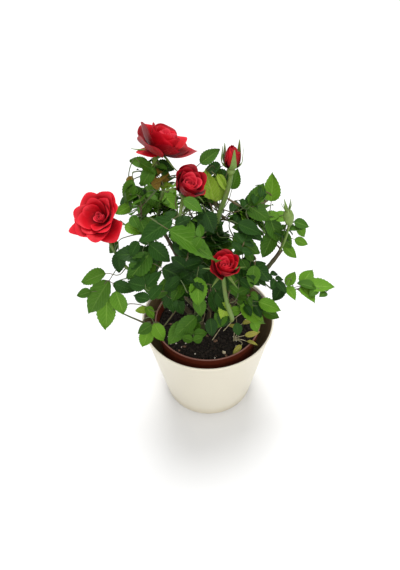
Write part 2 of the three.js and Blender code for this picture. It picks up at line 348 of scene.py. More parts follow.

# %% [markdown]
# ## The nursery pot
# The pot that the rose was sold in is thin red-brown plastic, drawn by vacuum from a sheet. It has a
# deep collar with a glossy rolled edge, a step under it, and shallow upright ribs on its wall. The
# bright line of light along the rolled edge is a painted highlight: a paler band painted round the
# top of the rim.
# It is turned like the cover pot, and its ribs are pressed by moving the wall in and out.

# %% Red-brown plastic
brown = Shader("brown_plastic", Specular_IOR_Level=0.35)
brown_cloud = brown.noise(35, detail=3)
brown_height = brown.add("ShaderNodeSeparateXYZ", None, {0: brown.place()}, output=2)
rim_low, rim_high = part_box("nursery_pot")
# Painted highlight: the top of the rim is painted a paler pink-brown, for the bright line that light
# draws along the glossy edge.
brown_rim_highlight = brown.between(brown_height, rim_high.z - 1.4 * MM, rim_high.z - 0.5 * MM)
brown_tone = brown.mix(brown_cloud, (0.130, 0.019, 0.008), (0.210, 0.040, 0.017))
brown_paint = brown.set(
    Base_Color=brown.mix(brown_rim_highlight, brown_tone, (0.23, 0.10, 0.075)),
    Roughness=0.42 + 0.18 * brown_cloud,
    Normal=brown.bump(brown.noise(700), 0.0002, 0.5))
print("nursery rim at", round(rim_high.z, 4))

# %% Nursery pot
COLLAR = 9 * MM
COLLAR_STEP = 1.8 * MM
SHEET = 0.9 * MM
NURSERY_RIM = rim_high.x
NURSERY_FOOT = 38 * MM
RIBS = 36
RIB_DEPTH = 0.25 * MM
EDGE_ROLL = 0.75 * MM  # radius of the rolled rim


def nursery_section():
    """The wall from the middle of its underside, up to the rolled rim and down inside."""
    top, base = rim_high.z, rim_low.z
    under = top - COLLAR
    wall_top = NURSERY_RIM - COLLAR_STEP
    return [
        (0, base),
        *arc(NURSERY_FOOT - 2 * MM, base + 2 * MM, 2 * MM, -90, -8, 4),
        (wall_top - 4 * MM, under - 40 * MM),
        (wall_top - 0.5 * MM, under - 3 * MM),
        (wall_top, under),
        (NURSERY_RIM - 0.7 * MM, under + 0.5 * MM),
        (NURSERY_RIM - 0.6 * MM, top - 2.2 * MM),
        *arc(NURSERY_RIM - EDGE_ROLL, top - EDGE_ROLL, EDGE_ROLL, -30, 180, 8),
        (NURSERY_RIM - 0.7 * MM - SHEET, top - 3 * MM),
        (wall_top - SHEET, under - 0.5 * MM),
        (NURSERY_FOOT - SHEET, base + 3 * MM),
        (NURSERY_FOOT - 3 * MM, base + SHEET),
        (0, base + SHEET),
    ]


nursery_mesh = spun("nursery_pot_skin", nursery_section())
for vertex in nursery_mesh.vertices:
    around = math.atan2(vertex.co.y, vertex.co.x)
    under_collar = vertex.co.z < rim_high.z - COLLAR - 1 * MM
    if under_collar and vertex.co.xy.length > NURSERY_FOOT - 4 * MM:
        vertex.co.xy *= 1 + RIB_DEPTH / NURSERY_RIM * math.cos(RIBS * around)
piece("nursery_pot_skin", nursery_mesh, [brown_paint], ["nursery_pot"])

# %% [markdown]
# ## The soil
# Potting soil is near-black peat with crumbs in it, and some white perlite and bark on top.
# A flat disc would look poured, so the surface is turned finely and then pushed up and down by
# several scales of noise, and loose crumbs of a few faces each are strewn on it.

# %% Soil finishes
soil = Shader("potting_soil", Specular_IOR_Level=0.25, Roughness=0.92)
soil_coarse = soil.noise(160, detail=6, rough=0.7)
soil_fine = soil.noise(900, detail=3)
soil_dark = soil.mix(soil_coarse, (0.0030, 0.0024, 0.0018), (0.017, 0.012, 0.008))
soil_fleck = soil.between(soil_fine, 0.63, 0.70)
soil_paint = soil.set(
    Base_Color=soil.mix(soil_fleck, soil_dark, (0.06, 0.042, 0.028)),
    Normal=soil.bump(soil_coarse + 0.5 * soil_fine, 0.0012, 0.9))


def mineral(name, dark, light, scale, roughness=0.85):
    """A mottled crumb material between two colours."""
    grit = Shader(name, Roughness=roughness, Specular_IOR_Level=0.3)
    mottle = grit.noise(scale, detail=4)
    return grit.set(Base_Color=grit.mix(grit.between(mottle, 0.3, 0.7), dark, light),
                    Normal=grit.bump(mottle, 0.0003, 0.7))


perlite_paint = mineral("perlite", (0.42, 0.36, 0.28), (0.80, 0.75, 0.66), 900)
bark_paint = mineral("bark_chip", (0.05, 0.028, 0.016), (0.23, 0.13, 0.08), 500)
print("soil, perlite and bark are mixed")

# %% Soil surface
SOIL_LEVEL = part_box("soil")[1].z - 1.8 * MM  # the edge of the soil, under its domed middle
SOIL_RADIUS = NURSERY_RIM - COLLAR_STEP - SHEET - 0.4 * MM
SOIL_RINGS = 46
SOIL_SKIRT = 8 * MM  # how far down the soil is closed, out of sight


def soil_height(x, y):
    """Height of the soil's surface over a place, with its heaps and hollows."""
    here = Vector((x, y, 0))
    edge = min(1.0, math.hypot(x, y) / SOIL_RADIUS)
    dome = 1.6 * MM * (1 - edge ** 2)
    heaps = noise.fractal(here * 60, 0.9, 2.1, 3) * 1.3 * MM
    crumbs = noise.fractal(here * 330, 0.7, 2.2, 3) * 0.8 * MM
    return SOIL_LEVEL + dome + heaps + crumbs - 1.5 * MM * edge ** 8


def soil_mesh():
    """A finely turned disc, closed underneath, with its top pushed to the soil's height."""
    rings = [(SOIL_RADIUS * (i / SOIL_RINGS) ** 0.85, SOIL_LEVEL) for i in range(SOIL_RINGS + 1)]
    under = SOIL_LEVEL - SOIL_SKIRT
    section = rings + [(SOIL_RADIUS - 1 * MM, under), (0, under)]
    mesh = spun("soil_surface", section, 150)
    for vertex in mesh.vertices:
        if vertex.co.z > SOIL_LEVEL - SOIL_SKIRT / 2:
            vertex.co.z = soil_height(vertex.co.x, vertex.co.y)
    return mesh


piece("soil_surface", soil_mesh(), [soil_paint], ["soil"], sharp=180)

# %% [markdown]
# ## Canes
# Seven woody canes rise from one crown in the soil. They could be bent cylinders, but a curve
# with a thickness at each point follows a limb more smoothly. The middle and the thickness of
# each one are fitted to the solid in the frame, so the canes stay where the design puts them.
# The curve then becomes a mesh, and noise drawn out lengthwise raises the ridges of the bark.

# %% Follow a limb of the frame
BEND = 3  # degree of the curve fitted up a limb
THINNEST = 0.6 * MM


def run_of(node, steps=14):
    """Points up the middle of a limb of the frame, and its radius at each."""
    corners = np.array([corner.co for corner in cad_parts[node].data.vertices])
    height = corners[:, 2]
    middle = [np.polyfit(height, corners[:, axis], BEND) for axis in (0, 1)]
    level = np.zeros_like(height)
    off = np.stack([corners[:, axis] - np.polyval(middle[axis], height) for axis in (0, 1)]
                   + [level], 1)
    way = np.stack([np.polyval(np.polyder(fit), height) for fit in middle] + [level + 1], 1)
    way /= np.linalg.norm(way, axis=1, keepdims=True)
    off -= (off * way).sum(1, keepdims=True) * way
    thickness = np.polyfit(height, np.linalg.norm(off, axis=1), 1)
    levels = np.linspace(height.min(), height.max(), steps)
    points = [Vector((*(np.polyval(fit, z) for fit in middle), z)) for z in levels]
    return points, [max(THINNEST, float(np.polyval(thickness, z))) for z in levels]


# %% Turn runs into one mesh
def tubes(name, runs, roundness=2):
    """One mesh of closed round tubes, each along its points with its own radii."""
    curve = bpy.data.curves.new(name, "CURVE")
    curve.dimensions = "3D"
    curve.bevel_depth = 1.0
    curve.bevel_resolution = roundness
    curve.use_fill_caps = True
    for points, radii in runs:
        spline = curve.splines.new("POLY")
        spline.points.add(len(points) - 1)
        for knot, place, radius in zip(spline.points, points, radii):
            knot.co = (*place, 1)
            knot.radius = radius
    holder = bpy.data.objects.new(name, curve)
    scene.collection.objects.link(holder)
    graph = bpy.context.evaluated_depsgraph_get()
    mesh = bpy.data.meshes.new_from_object(holder.evaluated_get(graph))
    bpy.data.objects.remove(holder)
    shape = bmesh.new()
    shape.from_mesh(mesh)
    bmesh.ops.remove_doubles(shape, verts=shape.verts, dist=1e-6)
    bmesh.ops.recalc_face_normals(shape, faces=shape.faces)
    shape.to_mesh(mesh)
    shape.free()
    mesh.name = name
    return mesh


# %% Raise the bark
BARK_RELIEF = 0.32 * MM
BARK_GRAIN = Vector((420, 420, 90))  # lumps per metre: long up the cane, narrow round it


def roughened(mesh, relief, grain):
    """Moves each vertex in or out along its normal by noise that is drawn out up the limb."""
    for vertex in mesh.vertices:
        spot = Vector(c * g for c, g in zip(vertex.co, grain))
        vertex.co += vertex.normal * relief * noise.noise(spot)
    return mesh


cane_skin = Shader("cane_skin", Specular_IOR_Level=0.3)
cane_ridge = cane_skin.noise(700, detail=4, at=cane_skin.place((1, 1, 0.16)))
cane_patch = cane_skin.between(cane_skin.noise(55, detail=3), 0.45, 0.65)
cane_tone = cane_skin.mix(cane_ridge, (0.030, 0.022, 0.012), (0.120, 0.095, 0.050))
cane_paint = cane_skin.set(
    Base_Color=cane_skin.mix(cane_patch * 0.6, cane_tone, (0.060, 0.080, 0.025)),
    Roughness=0.62 + 0.2 * cane_ridge, Normal=cane_skin.bump(cane_ridge, 0.35 * MM))

cane_names = sorted(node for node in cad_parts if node.startswith("cane_"))
cane_runs = {node: run_of(node, steps=48) for node in cane_names}
cane_mesh = roughened(tubes("canes", cane_runs.values(), 3), BARK_RELIEF, BARK_GRAIN)
piece("canes", cane_mesh, [cane_paint], cane_names, sharp=60)

# %% [markdown]
# ## Prickles
# Rose canes carry flat hooked prickles. A five-sided cone with its point pulled down reads as
# one, and costs six faces. They stand out of the bark at seeded places.

# %% Grow the prickles
PRICKLE = {"length": 2.6 * MM, "width": 0.9 * MM, "tip": 0.06 * MM, "droop": 0.9 * MM}
PRICKLES_PER_CANE = 9
PRICKLE_STANDS = 0.35  # how far out of the bark its middle stands, in its own lengths
prickle_dice = random.Random(11)
prickle_shape = bmesh.new()
for points, radii in cane_runs.values():
    for _ in range(PRICKLES_PER_CANE):
        step = prickle_dice.randrange(6, len(points) - 3)
        turn = prickle_dice.uniform(0, math.tau)
        out = Vector((math.cos(turn), math.sin(turn), 0.1))
        cone = bmesh.ops.create_cone(prickle_shape, cap_ends=True, segments=5,
                                     radius1=PRICKLE["width"], radius2=PRICKLE["tip"],
                                     depth=PRICKLE["length"])
        for vertex in cone["verts"]:
            if vertex.co.z > 0:
                vertex.co.y -= PRICKLE["droop"]
        aim = out.to_track_quat("Z", "Y").to_matrix().to_4x4()
        aim.translation = points[step] + out * (radii[step] + PRICKLE["length"] * PRICKLE_STANDS)
        bmesh.ops.transform(prickle_shape, matrix=aim, verts=cone["verts"])
prickle_mesh = bpy.data.meshes.new("prickles")
prickle_shape.to_mesh(prickle_mesh)
prickle_shape.free()
piece("prickles", prickle_mesh, [cane_paint])

# %% [markdown]
# ## The rule of growth
# Whatever grows next has to spring from something. Placing every fork by hand would look
# arranged, so a small rule does it: a new shoot starts at the point of the plant that costs
# least to reach, where growing downwards or doubling back costs extra, leaves near its parent's
# direction, and bends towards its goal.

# %% Find where a shoot starts
FALL_COST = 2.2  # how much dearer it is to start above the goal or ahead of it
BEND_REACH = 0.38  # how long a shoot keeps each end's direction, as a share of its length
limb_points = []  # every place that a later shoot may start from, with its parent's direction


def starts_on(points):
    """Each point of a limb with the direction that the limb grows in there."""
    return [(here, (beyond - here).normalized()) for here, beyond in zip(points, points[1:])]


def nearest_start(goal, heading=Vector(), below=0.0, among=limb_points):
    """The place on the plant that a new shoot reaches the goal from at least cost."""
    def cost(start):
        gap = start[0] - goal
        fall = max(0.0, gap.z + below)
        return gap.length + FALL_COST * (fall + max(0.0, gap.dot(heading)))
    return min(among, key=cost)


def bend(start, heading, goal, arrive, steps):
    """A smooth path that leaves along one direction and arrives along another."""
    reach = (goal - start).length * BEND_REACH
    return geometry.interpolate_bezier(start, start + heading * reach,
                                       goal - arrive * reach, goal, steps)


for points, _ in cane_runs.values():
    limb_points += starts_on(points[len(points) // 4:])  # the lowest quarter stays bare
print(len(limb_points), "places on the canes to grow from")

# %% [markdown]
# ## Boughs that grow into the foliage
# Inside each mass of leaves a thin bough carries on from the nearest older limb, the lowest
# masses first, and bends up into the inner side of its mass, where the leaves hide it. A few
# twigs then leave it, each a golden angle round from the last, so that every leaf has something
# near to grow from.

# %% Grow a bough and its twigs for each mass
BOUGH = {"foot": 1.10 * MM, "tip": 0.50 * MM, "steps": 16}
TWIG = {"foot": 0.70 * MM, "tip": 0.38 * MM, "steps": 9, "reach": 0.5}
TWIG_ROOM = 5.0 * MM  # of a mass's mean half size, for each of its twigs
TWIG_TOP, TWIG_SPAN = 0.9, 1.3  # rise of the first twig, and how far the rise falls to the last
INNER_SIDE, LOWER_SIDE = 0.45, 0.4  # how far from a mass's middle its bough ends, in half sizes
GOLDEN_TURN = math.radians(137.5)
mass_names = sorted(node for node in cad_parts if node.startswith("leaves_"))
mass_middle = {node: sum(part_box(node), Vector()) / 2 for node in mass_names}
mass_half = {node: (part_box(node)[1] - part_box(node)[0]) / 2 for node in mass_names}
bush_axis = mass_middle["leaves_heart"]


def outward(place):
    """Level direction from the bush's middle out to a place."""
    out = place - bush_axis
    out.z = 0
    return out.normalized()


def scaled(way, half):
    """A way in half sizes of a mass, as a real offset."""
    return Vector([w * h for w, h in zip(way, half)])


def round_way(rise, turn):
    """A direction of length 1 with a given rise, turned about the upright."""
    ring = math.sqrt(max(0.0, 1 - rise * rise))
    return Vector((ring * math.cos(turn), ring * math.sin(turn), rise))


def tapered(limb, path):
    """A path with radii that run evenly from the limb's foot to its tip."""
    return path, [float(radius) for radius in np.linspace(limb["foot"], limb["tip"], len(path))]


bough_runs = []
for node in sorted(mass_names, key=lambda name: mass_middle[name].z):
    half = mass_half[node]
    goal = mass_middle[node] - INNER_SIDE * scaled(outward(mass_middle[node]), half)
    goal.z -= LOWER_SIDE * half.z
    start, heading = nearest_start(goal)
    arrive = ((goal - start).normalized() + Vector((0, 0, 0.5))).normalized()
    path = bend(start, heading, goal, arrive, BOUGH["steps"])
    bough_runs.append(tapered(BOUGH, path))
    limb_points += starts_on(path)
    twigs = round(sum(half) / 3 / TWIG_ROOM)
    for number in range(twigs):
        rise = TWIG_TOP - TWIG_SPAN * (number + 0.5) / twigs
        way = round_way(rise, GOLDEN_TURN * number)
        tip = goal + TWIG["reach"] * scaled(way, half)
        start, parent = nearest_start(tip, way)
        straight = (tip - start).normalized()
        side = bend(start, (0.5 * parent + straight).normalized(), tip,
                    (way + 2 * straight).normalized(), TWIG["steps"])
        bough_runs.append(tapered(TWIG, side))
        limb_points += starts_on(side)
print(len(bough_runs), "boughs and twigs on", len(cane_runs), "canes")

# %% [markdown]
# ## Flower stalks
# The stalks are this year's growth: smooth, round, light green and a little thicker just under
# the flower. They are made as the canes are, without the bark.

# %% Green stalk finish
stalk_green = Shader("stalk_green", Specular_IOR_Level=0.4)
stalk_streak = stalk_green.noise(260, detail=3, at=stalk_green.place((1, 1, 0.15)))
stalk_tone = stalk_green.mix(stalk_streak, (0.060, 0.120, 0.018), (0.190, 0.290, 0.055))
stalk_blush = stalk_green.between(stalk_green.noise(60, detail=2), 0.55, 0.75) * 0.5
stalk_paint = stalk_green.set(
    Base_Color=stalk_green.mix(stalk_blush, stalk_tone, (0.17, 0.085, 0.04)),
    Roughness=0.42 + 0.15 * stalk_streak,
    Normal=stalk_green.bump(stalk_streak, 0.15 * MM))

# %% Each flower's way, its depth behind its middle, its shift in mm, its stalk, its cane
def flower(facing, depth, stalk, cane, fall=18, shift=(0, 0, 0)):
    """The fall is how far in mm the flower's shoot starts below the foot of its stalk."""
    return {"facing": Vector(facing).normalized(), "depth": depth * MM, "stalk": stalk,
            "cane": cane, "fall": fall * MM, "shift": Vector(shift) * MM}


flowers = {
    "bloom_left": flower((-0.3, -0.55, 0.78), 18, "stalk_left", "cane_left"),
    "bloom_top": flower((0.44, 0.22, 0.87), 15, "stalk_top", "cane_left_back", 40, (-2, -3, -5)),
    "bloom_middle": flower((0.45, -0.3, 0.85), 17, "stalk_middle", "cane_front", 30, (-1, 0, -2)),
    "bloom_front": flower((0.1, -0.22, 0.97), 14, "stalk_front", "cane_front_right", 48),
    "bud_top": flower((0.06, 0.05, 1), 15, "stalk_bud", "cane_middle", 60, (0, 0, -2)),
    "hip_right": flower((-0.2, 0.1, 1), 9.5, "stalk_hip", "cane_right"),
}


def flower_frame(node):
    """The frame that sets a flower made round +Z at its node's middle, facing its way."""
    turn = flowers[node]["facing"].to_track_quat("Z", "Y").to_matrix().to_4x4()
    turn.translation = sum(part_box(node), Vector()) / 2 + flowers[node]["shift"]
    return turn


# %% Follow the stalks
SHOOT_STEPS = 14
NECK = 0.93  # where the stalk meets the flower, in depths behind its middle
stalk_names = sorted(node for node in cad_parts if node.startswith("stalk_"))
stalk_runs = {}
for node, told in flowers.items():
    points, radii = run_of(told["stalk"], steps=12)
    neck = flower_frame(node) @ Vector((0, 0, -NECK * told["depth"]))
    rise = (points[1] - points[0]).normalized()
    start, parent = nearest_start(points[0], below=told["fall"],
                                  among=starts_on(cane_runs[told["cane"]][0]))
    shoot = bend(start, (parent + rise).normalized(), points[0], rise, SHOOT_STEPS)
    way = (neck - points[-1]).normalized()
    path = shoot[:-1] + points + [points[-1].lerp(neck, 0.6), neck - way * 0.2 * MM]
    shoot_radii = list(np.linspace(0.75, 1.0, SHOOT_STEPS - 1) * radii[0])
    neck_radii = [radii[-1] * 1.15, radii[-1] * 1.5]
    stalk_runs[told["stalk"]] = (path, shoot_radii + radii + neck_radii)
stalk_mesh = tubes("flower_stalks", stalk_runs.values(), 2)
piece("flower_stalks", stalk_mesh, [stalk_paint], stalk_names, sharp=60)
for path, _ in stalk_runs.values():
    limb_points += starts_on(path[: 2 * len(path) // 3])  # the top third stays bare

# %% [markdown]
# ## One leaflet
# A rose leaflet is an oval blade with a round foot, a pointed tip and a toothed edge, folded
# along its midrib. Hundreds are needed, so each has only a few dozen faces: a small grid is
# drawn into the outline, every other row steps out as a tooth, and the blade folds and droops.
# Eight seeded blades keep them from looking stamped.

# %% Shape the blades
BLADE = {"columns": 4, "rows": 18, "widest": 0.31, "tooth": 0.10, "fold": 0.34,
         "quilt": 0.012}
BLADE_KINDS = 8
FOOT_ROUND, TIP_TAPER = 0.62, 0.98  # powers that round the foot and draw out the tip


def blade_half_width(along):
    """Half the width of a blade of length 1, at a share of its length from the foot."""
    peak = FOOT_ROUND / (FOOT_ROUND + TIP_TAPER)
    highest = peak ** FOOT_ROUND * (1 - peak) ** TIP_TAPER
    return BLADE["widest"] * along ** FOOT_ROUND * (1 - along) ** TIP_TAPER / highest


def blade(seed):
    """Vertices, faces and UV of one blade of length 1, foot at the origin, tip along +Y."""
    dice = random.Random(seed)
    droop, curl = dice.uniform(0.02, 0.16), dice.uniform(-0.05, 0.10)
    sway, fold = dice.uniform(-0.06, 0.06), BLADE["fold"] * dice.uniform(0.5, 1.3)
    shape = bmesh.new()
    bmesh.ops.create_grid(shape, x_segments=BLADE["columns"], y_segments=BLADE["rows"], size=0.5)
    layer = shape.loops.layers.uv.new("leaf")
    for face in shape.faces:
        for loop in face.loops:
            loop[layer].uv = (loop.vert.co.x + 0.5, loop.vert.co.y + 0.5)
    for vertex in shape.verts:
        across, along = 2 * vertex.co.x, min(1.0, max(0.0, vertex.co.y + 0.5))
        row = round(along * BLADE["rows"])
        tooth = BLADE["tooth"] * abs(across) ** 3 * (0.5 if row % 2 else -0.5)
        half = blade_half_width(along) * (1 + tooth)
        quilt = BLADE["quilt"] * (1 if row % 2 else -1) * (1 - abs(2 * abs(across) - 1))
        x = across * half + sway * along * along
        z = fold * abs(across * half) - droop * along ** 2 + curl * across * along + quilt
        vertex.co = (x, along + 0.3 * abs(tooth), z)
    bmesh.ops.remove_doubles(shape, verts=shape.verts, dist=1e-4)
    shape.verts.index_update()
    spots = np.array([vertex.co for vertex in shape.verts])
    faces = [[vertex.index for vertex in face.verts] for face in shape.faces]
    uv = [tuple(loop[layer].uv) for face in shape.faces for loop in face.loops]
    shape.free()
    return spots, faces, uv


blades = [blade(seed) for seed in range(BLADE_KINDS)]
print("a blade has", len(blades[0][1]), "faces")

# %% Join many blades into one mesh
def joined(name, placed):
    """One mesh of blades, from (kind, 3x3 frame, foot, shade) for each."""
    spots, faces, uv, shades = [], [], [], []
    count = 0
    for kind, axes, foot, shade in placed:
        points, sides, corners = blades[kind]
        spots.append(points @ np.array(axes).T + np.array(foot))
        faces += [[count + index for index in side] for side in sides]
        uv += corners
        shades += [shade] * len(points)
        count += len(points)
    mesh = bpy.data.meshes.new(name)
    mesh.from_pydata(np.concatenate(spots).tolist(), [], faces)
    mesh.uv_layers.new(name="leaf").data.foreach_set("uv", np.array(uv, "f").ravel())
    mesh.attributes.new("shade", "FLOAT", "POINT").data.foreach_set("value", shades)
    return mesh


# %% [markdown]
# ## Leaf finishes
# Old leaves low in the bush are dark and a little blue, and those in the light are fresh green. These
# tints are partly the leaves' own age and partly painted shade and painted light, for leaves low and
# inside the bush or standing out in the light. The newest are yellow green or bronze, and a few have
# withered. One finish with painted patches could hold them all, but a tint that belongs to a spray
# stays put only as a finish of its own.
# All of them share the veins, which are drawn from the blade's own across and along.

# %% Leaf paint
VEIN_PAIRS = 8
VEIN_SLANT = 0.30  # how far up the blade a side vein climbs on its way to the edge
VEIN_DEPTH = 0.35 * MM


def leaf_paint(name, dark, light, vein, roughness):
    """A leaf finish: mottled green, paler veins, a satin skin with sunken veins."""
    leaf = Shader(name, Specular_IOR_Level=0.15)
    spot = leaf.add("ShaderNodeUVMap", {"uv_map": "leaf"})
    across = leaf.add("ShaderNodeSeparateXYZ", None, {0: spot})
    along = leaf.add("ShaderNodeSeparateXYZ", None, {0: spot}, output=1)
    off = 2 * leaf.add("ShaderNodeMath", {"operation": "ABSOLUTE"}, {0: across - 0.5})
    rise = (along - VEIN_SLANT * off) * VEIN_PAIRS
    saw = leaf.add("ShaderNodeMath", {"operation": "FRACT"}, {0: rise + 4})
    gap = 2 * leaf.add("ShaderNodeMath", {"operation": "ABSOLUTE"}, {0: saw - 0.5})
    midrib = 1 - leaf.between(off, 0.03, 0.11)
    side_vein = leaf.between(gap, 0.74, 0.98) * (1 - 0.7 * off)
    veins = leaf.add("ShaderNodeMath", {"operation": "MAXIMUM"}, {0: midrib, 1: side_vein})
    mottle = leaf.noise(160, detail=4)
    shade = leaf.add("ShaderNodeAttribute", {"attribute_name": "shade"}, output=2)
    tone = leaf.mix(0.55 * shade + 0.45 * mottle, dark, light)
    painted = leaf.mix(veins * 0.55, tone, vein)
    return leaf.set(Base_Color=painted, Roughness=roughness + 0.14 * mottle,
                    Normal=leaf.bump(0.6 * gap - veins + 0.25 * mottle, VEIN_DEPTH, 0.8))


# dark, mid and bright are one green at three brightnesses: partly the leaves' own age, partly painted
# shade and painted light.
leaf_paints = {
    "dark": leaf_paint("leaf_dark", (0.004, 0.022, 0.002), (0.022, 0.078, 0.006),
                       (0.050, 0.125, 0.018), 0.40),
    "mid": leaf_paint("leaf_mid", (0.016, 0.066, 0.003), (0.072, 0.180, 0.010),
                      (0.120, 0.235, 0.034), 0.42),
    "bright": leaf_paint("leaf_bright", (0.045, 0.145, 0.005), (0.140, 0.310, 0.016),
                         (0.200, 0.370, 0.045), 0.44),
    "lime": leaf_paint("leaf_lime", (0.120, 0.240, 0.012), (0.300, 0.440, 0.040),
                       (0.390, 0.500, 0.100), 0.45),
    "young": leaf_paint("leaf_young", (0.170, 0.090, 0.012), (0.330, 0.220, 0.035),
                        (0.400, 0.320, 0.080), 0.45),
    "withered": leaf_paint("leaf_withered", (0.230, 0.210, 0.030), (0.440, 0.420, 0.080),
                           (0.560, 0.540, 0.200), 0.6),
}
print(len(leaf_paints), "leaf finishes")

# %% [markdown]
# ## How the leaves grow
# A rose leaf is compound: a thin midstalk with a leaflet at its end and one or two pairs along
# it. Scattering single blades over a surface would be quicker, but they would hang in the air.
# Here a leaf is told by its tip, its heading and its size, and its stalk grows back from there to the
# cheapest place on the limbs. The leaves that give each mass its look, such as the one that hangs on
# the left or the one that stands up at the right, are listed one by one, in shares of the mass they
# belong to. The rest follow a seeded rule: each has its tip at the skin of its mass, a golden angle
# round from the last, and hangs outwards under its own weight.

# %% What each mass is like
def foliage(leaves, blade, tints, lean=(0, 0, -0.35), skin=0.9):
    """Number of seeded leaves, blade in mm, tints dealt out in turn, lean, reach."""
    return {"leaves": leaves, "blade": blade * MM, "tints": tints.split(),
            "lean": Vector(lean), "skin": skin}


habits = {
    "left_spray": foliage(0, 22, "dark"),
    "left_shoulder": foliage(3, 21, "dark mid dark", skin=0.7),
    "left_middle": foliage(2, 18, "dark mid", skin=0.7),
    "left_upper": foliage(3, 15, "mid dark", skin=0.75),
    "top_left": foliage(5, 14, "dark mid young", (0, 0, 0), skin=0.8),
    "crown_front": foliage(3, 21, "dark mid dark", (0, 0.9, -0.1), skin=0.4),
    "crown_top": foliage(0, 17, "mid"),
    "right_upper": foliage(2, 16, "dark dark", skin=0.7),
    "right_peak": foliage(0, 16, "mid"),
    "right_side": foliage(2, 14, "mid dark", skin=0.8),
    "right_middle": foliage(3, 17, "dark mid dark", skin=0.75),
    "right_spray": foliage(1, 15, "mid", (-0.4, 0.3, 0), skin=0.6),
    "right_branch": foliage(1, 14, "dark", skin=0.7),
    "front_right": foliage(6, 17, "dark mid dark", skin=0.9),
    "front_left": foliage(5, 21, "dark mid dark", skin=0.8),
    "low_right": foliage(2, 16, "dark mid", skin=0.7),
    "low_front": foliage(2, 18, "dark mid", (0, 0.4, 0), skin=0.6),
    "low_left": foliage(0, 14, "dark"),
    "heart": foliage(26, 24, "dark mid dark"),
    "left_back": foliage(18, 21, "mid bright dark mid"),
    "right_back": foliage(18, 21, "mid bright dark mid"),
    "middle_back": foliage(18, 21, "mid dark bright mid"),
    "low_back": foliage(12, 22, "dark mid dark"),
}

# %% Grow one compound leaf
placed_blades = {tint: [] for tint in leaf_paints}
petiole_runs = []
PETIOLE = {"foot": 0.58 * MM, "tip": 0.32 * MM, "steps": 10}
LAST_FOOT = 0.97  # from a leaf's tip back to the foot of its last blade, in blade lengths
PAIR_START = 0.16  # from there back to the first pair
PAIR_SPACING = 0.50  # from one pair back to the next
PAIR_SIZE, PAIR_SHRINK = 0.80, 0.12  # the first pair's size, and what each next pair loses
STALK_OF_LEAF = 0.45  # bare midstalk below the lowest pair, in blade lengths
KNEE_PULL = 2.2  # how much the midstalk keeps to the straight way back to its limb
SHORT_STALK = 0.3  # bare midstalk of a leaf that would else have to double back
BEHIND = 0.30  # how far behind its blades a leaf's stalk comes up, in blade lengths
DRAWN_OUT = 0.105  # the longer a blade, the narrower for its length: a line at this length
DRAWN_BREADTH = 1.22  # breadth of the shortest blades, as a share of the shape above
OUTWARD_FACE = 0.6  # how far a blade turns its face away from the bush's middle
VIEW_FACE = Vector((0, -0.45, 0.9))  # blades in front turn their faces to the light in front


def wobble(dice, amount):
    """A small offset to every side, drawn from the dice."""
    return Vector([dice.uniform(-amount, amount) for _ in range(3)])


def lay_blade(foot, heading, length, face, tint, shade, dice):
    """Records one blade with its foot at a point, its tip along a heading, face up."""
    along = heading.normalized()
    across = along.cross(face).normalized()
    up_face = across.cross(along)
    broad = (DRAWN_OUT - length) / DRAWN_OUT * DRAWN_BREADTH * length * dice.uniform(0.92, 1.10)
    axes = Matrix((across * broad, along * length, up_face * length)).transposed()
    kind = dice.randrange(BLADE_KINDS)
    placed_blades[tint].append((kind, axes, foot, min(1.0, max(0.0, shade))))


def grow_leaf(tip, heading, blade_length, pairs, tint, face, dice):
    """A compound leaf whose last leaflet ends at the tip, and its stalk back to a limb."""
    end = tip - heading * blade_length * LAST_FOOT
    joint = end - heading * blade_length * (STALK_OF_LEAF + PAIR_SPACING * max(0, pairs - 1))
    joint -= BEHIND * blade_length * face
    start, parent = nearest_start(joint, heading + face)
    straight = (joint - start).normalized()
    if straight.dot(heading) < 0:
        joint = end - SHORT_STALK * blade_length * heading
        straight = (joint - start).normalized()
    knee = (heading + KNEE_PULL * straight).normalized()
    path = bend(start, (0.6 * parent + straight).normalized(), joint, knee, PETIOLE["steps"])
    path += bend(joint, knee, end, heading, PETIOLE["steps"] // 2)[1:]
    petiole_runs.append(tapered(PETIOLE, path))
    shade = dice.uniform(0.1, 0.95)
    lay_blade(end, heading + wobble(dice, 0.08), blade_length, face, tint, shade, dice)
    side = heading.cross(face).normalized()
    for pair in range(pairs):
        place = end - heading * blade_length * (PAIR_START + PAIR_SPACING * pair)
        size = blade_length * (PAIR_SIZE - PAIR_SHRINK * pair)
        for hand in (-1, 1):
            spread = (0.55 * heading + hand * side + wobble(dice, 0.12)).normalized()
            tilt = (face - hand * side * 0.2 + wobble(dice, 0.12)).normalized()
            lay_blade(place, spread, size * dice.uniform(0.88, 1.05), tilt, tint,
                      shade + dice.uniform(-0.2, 0.2), dice)
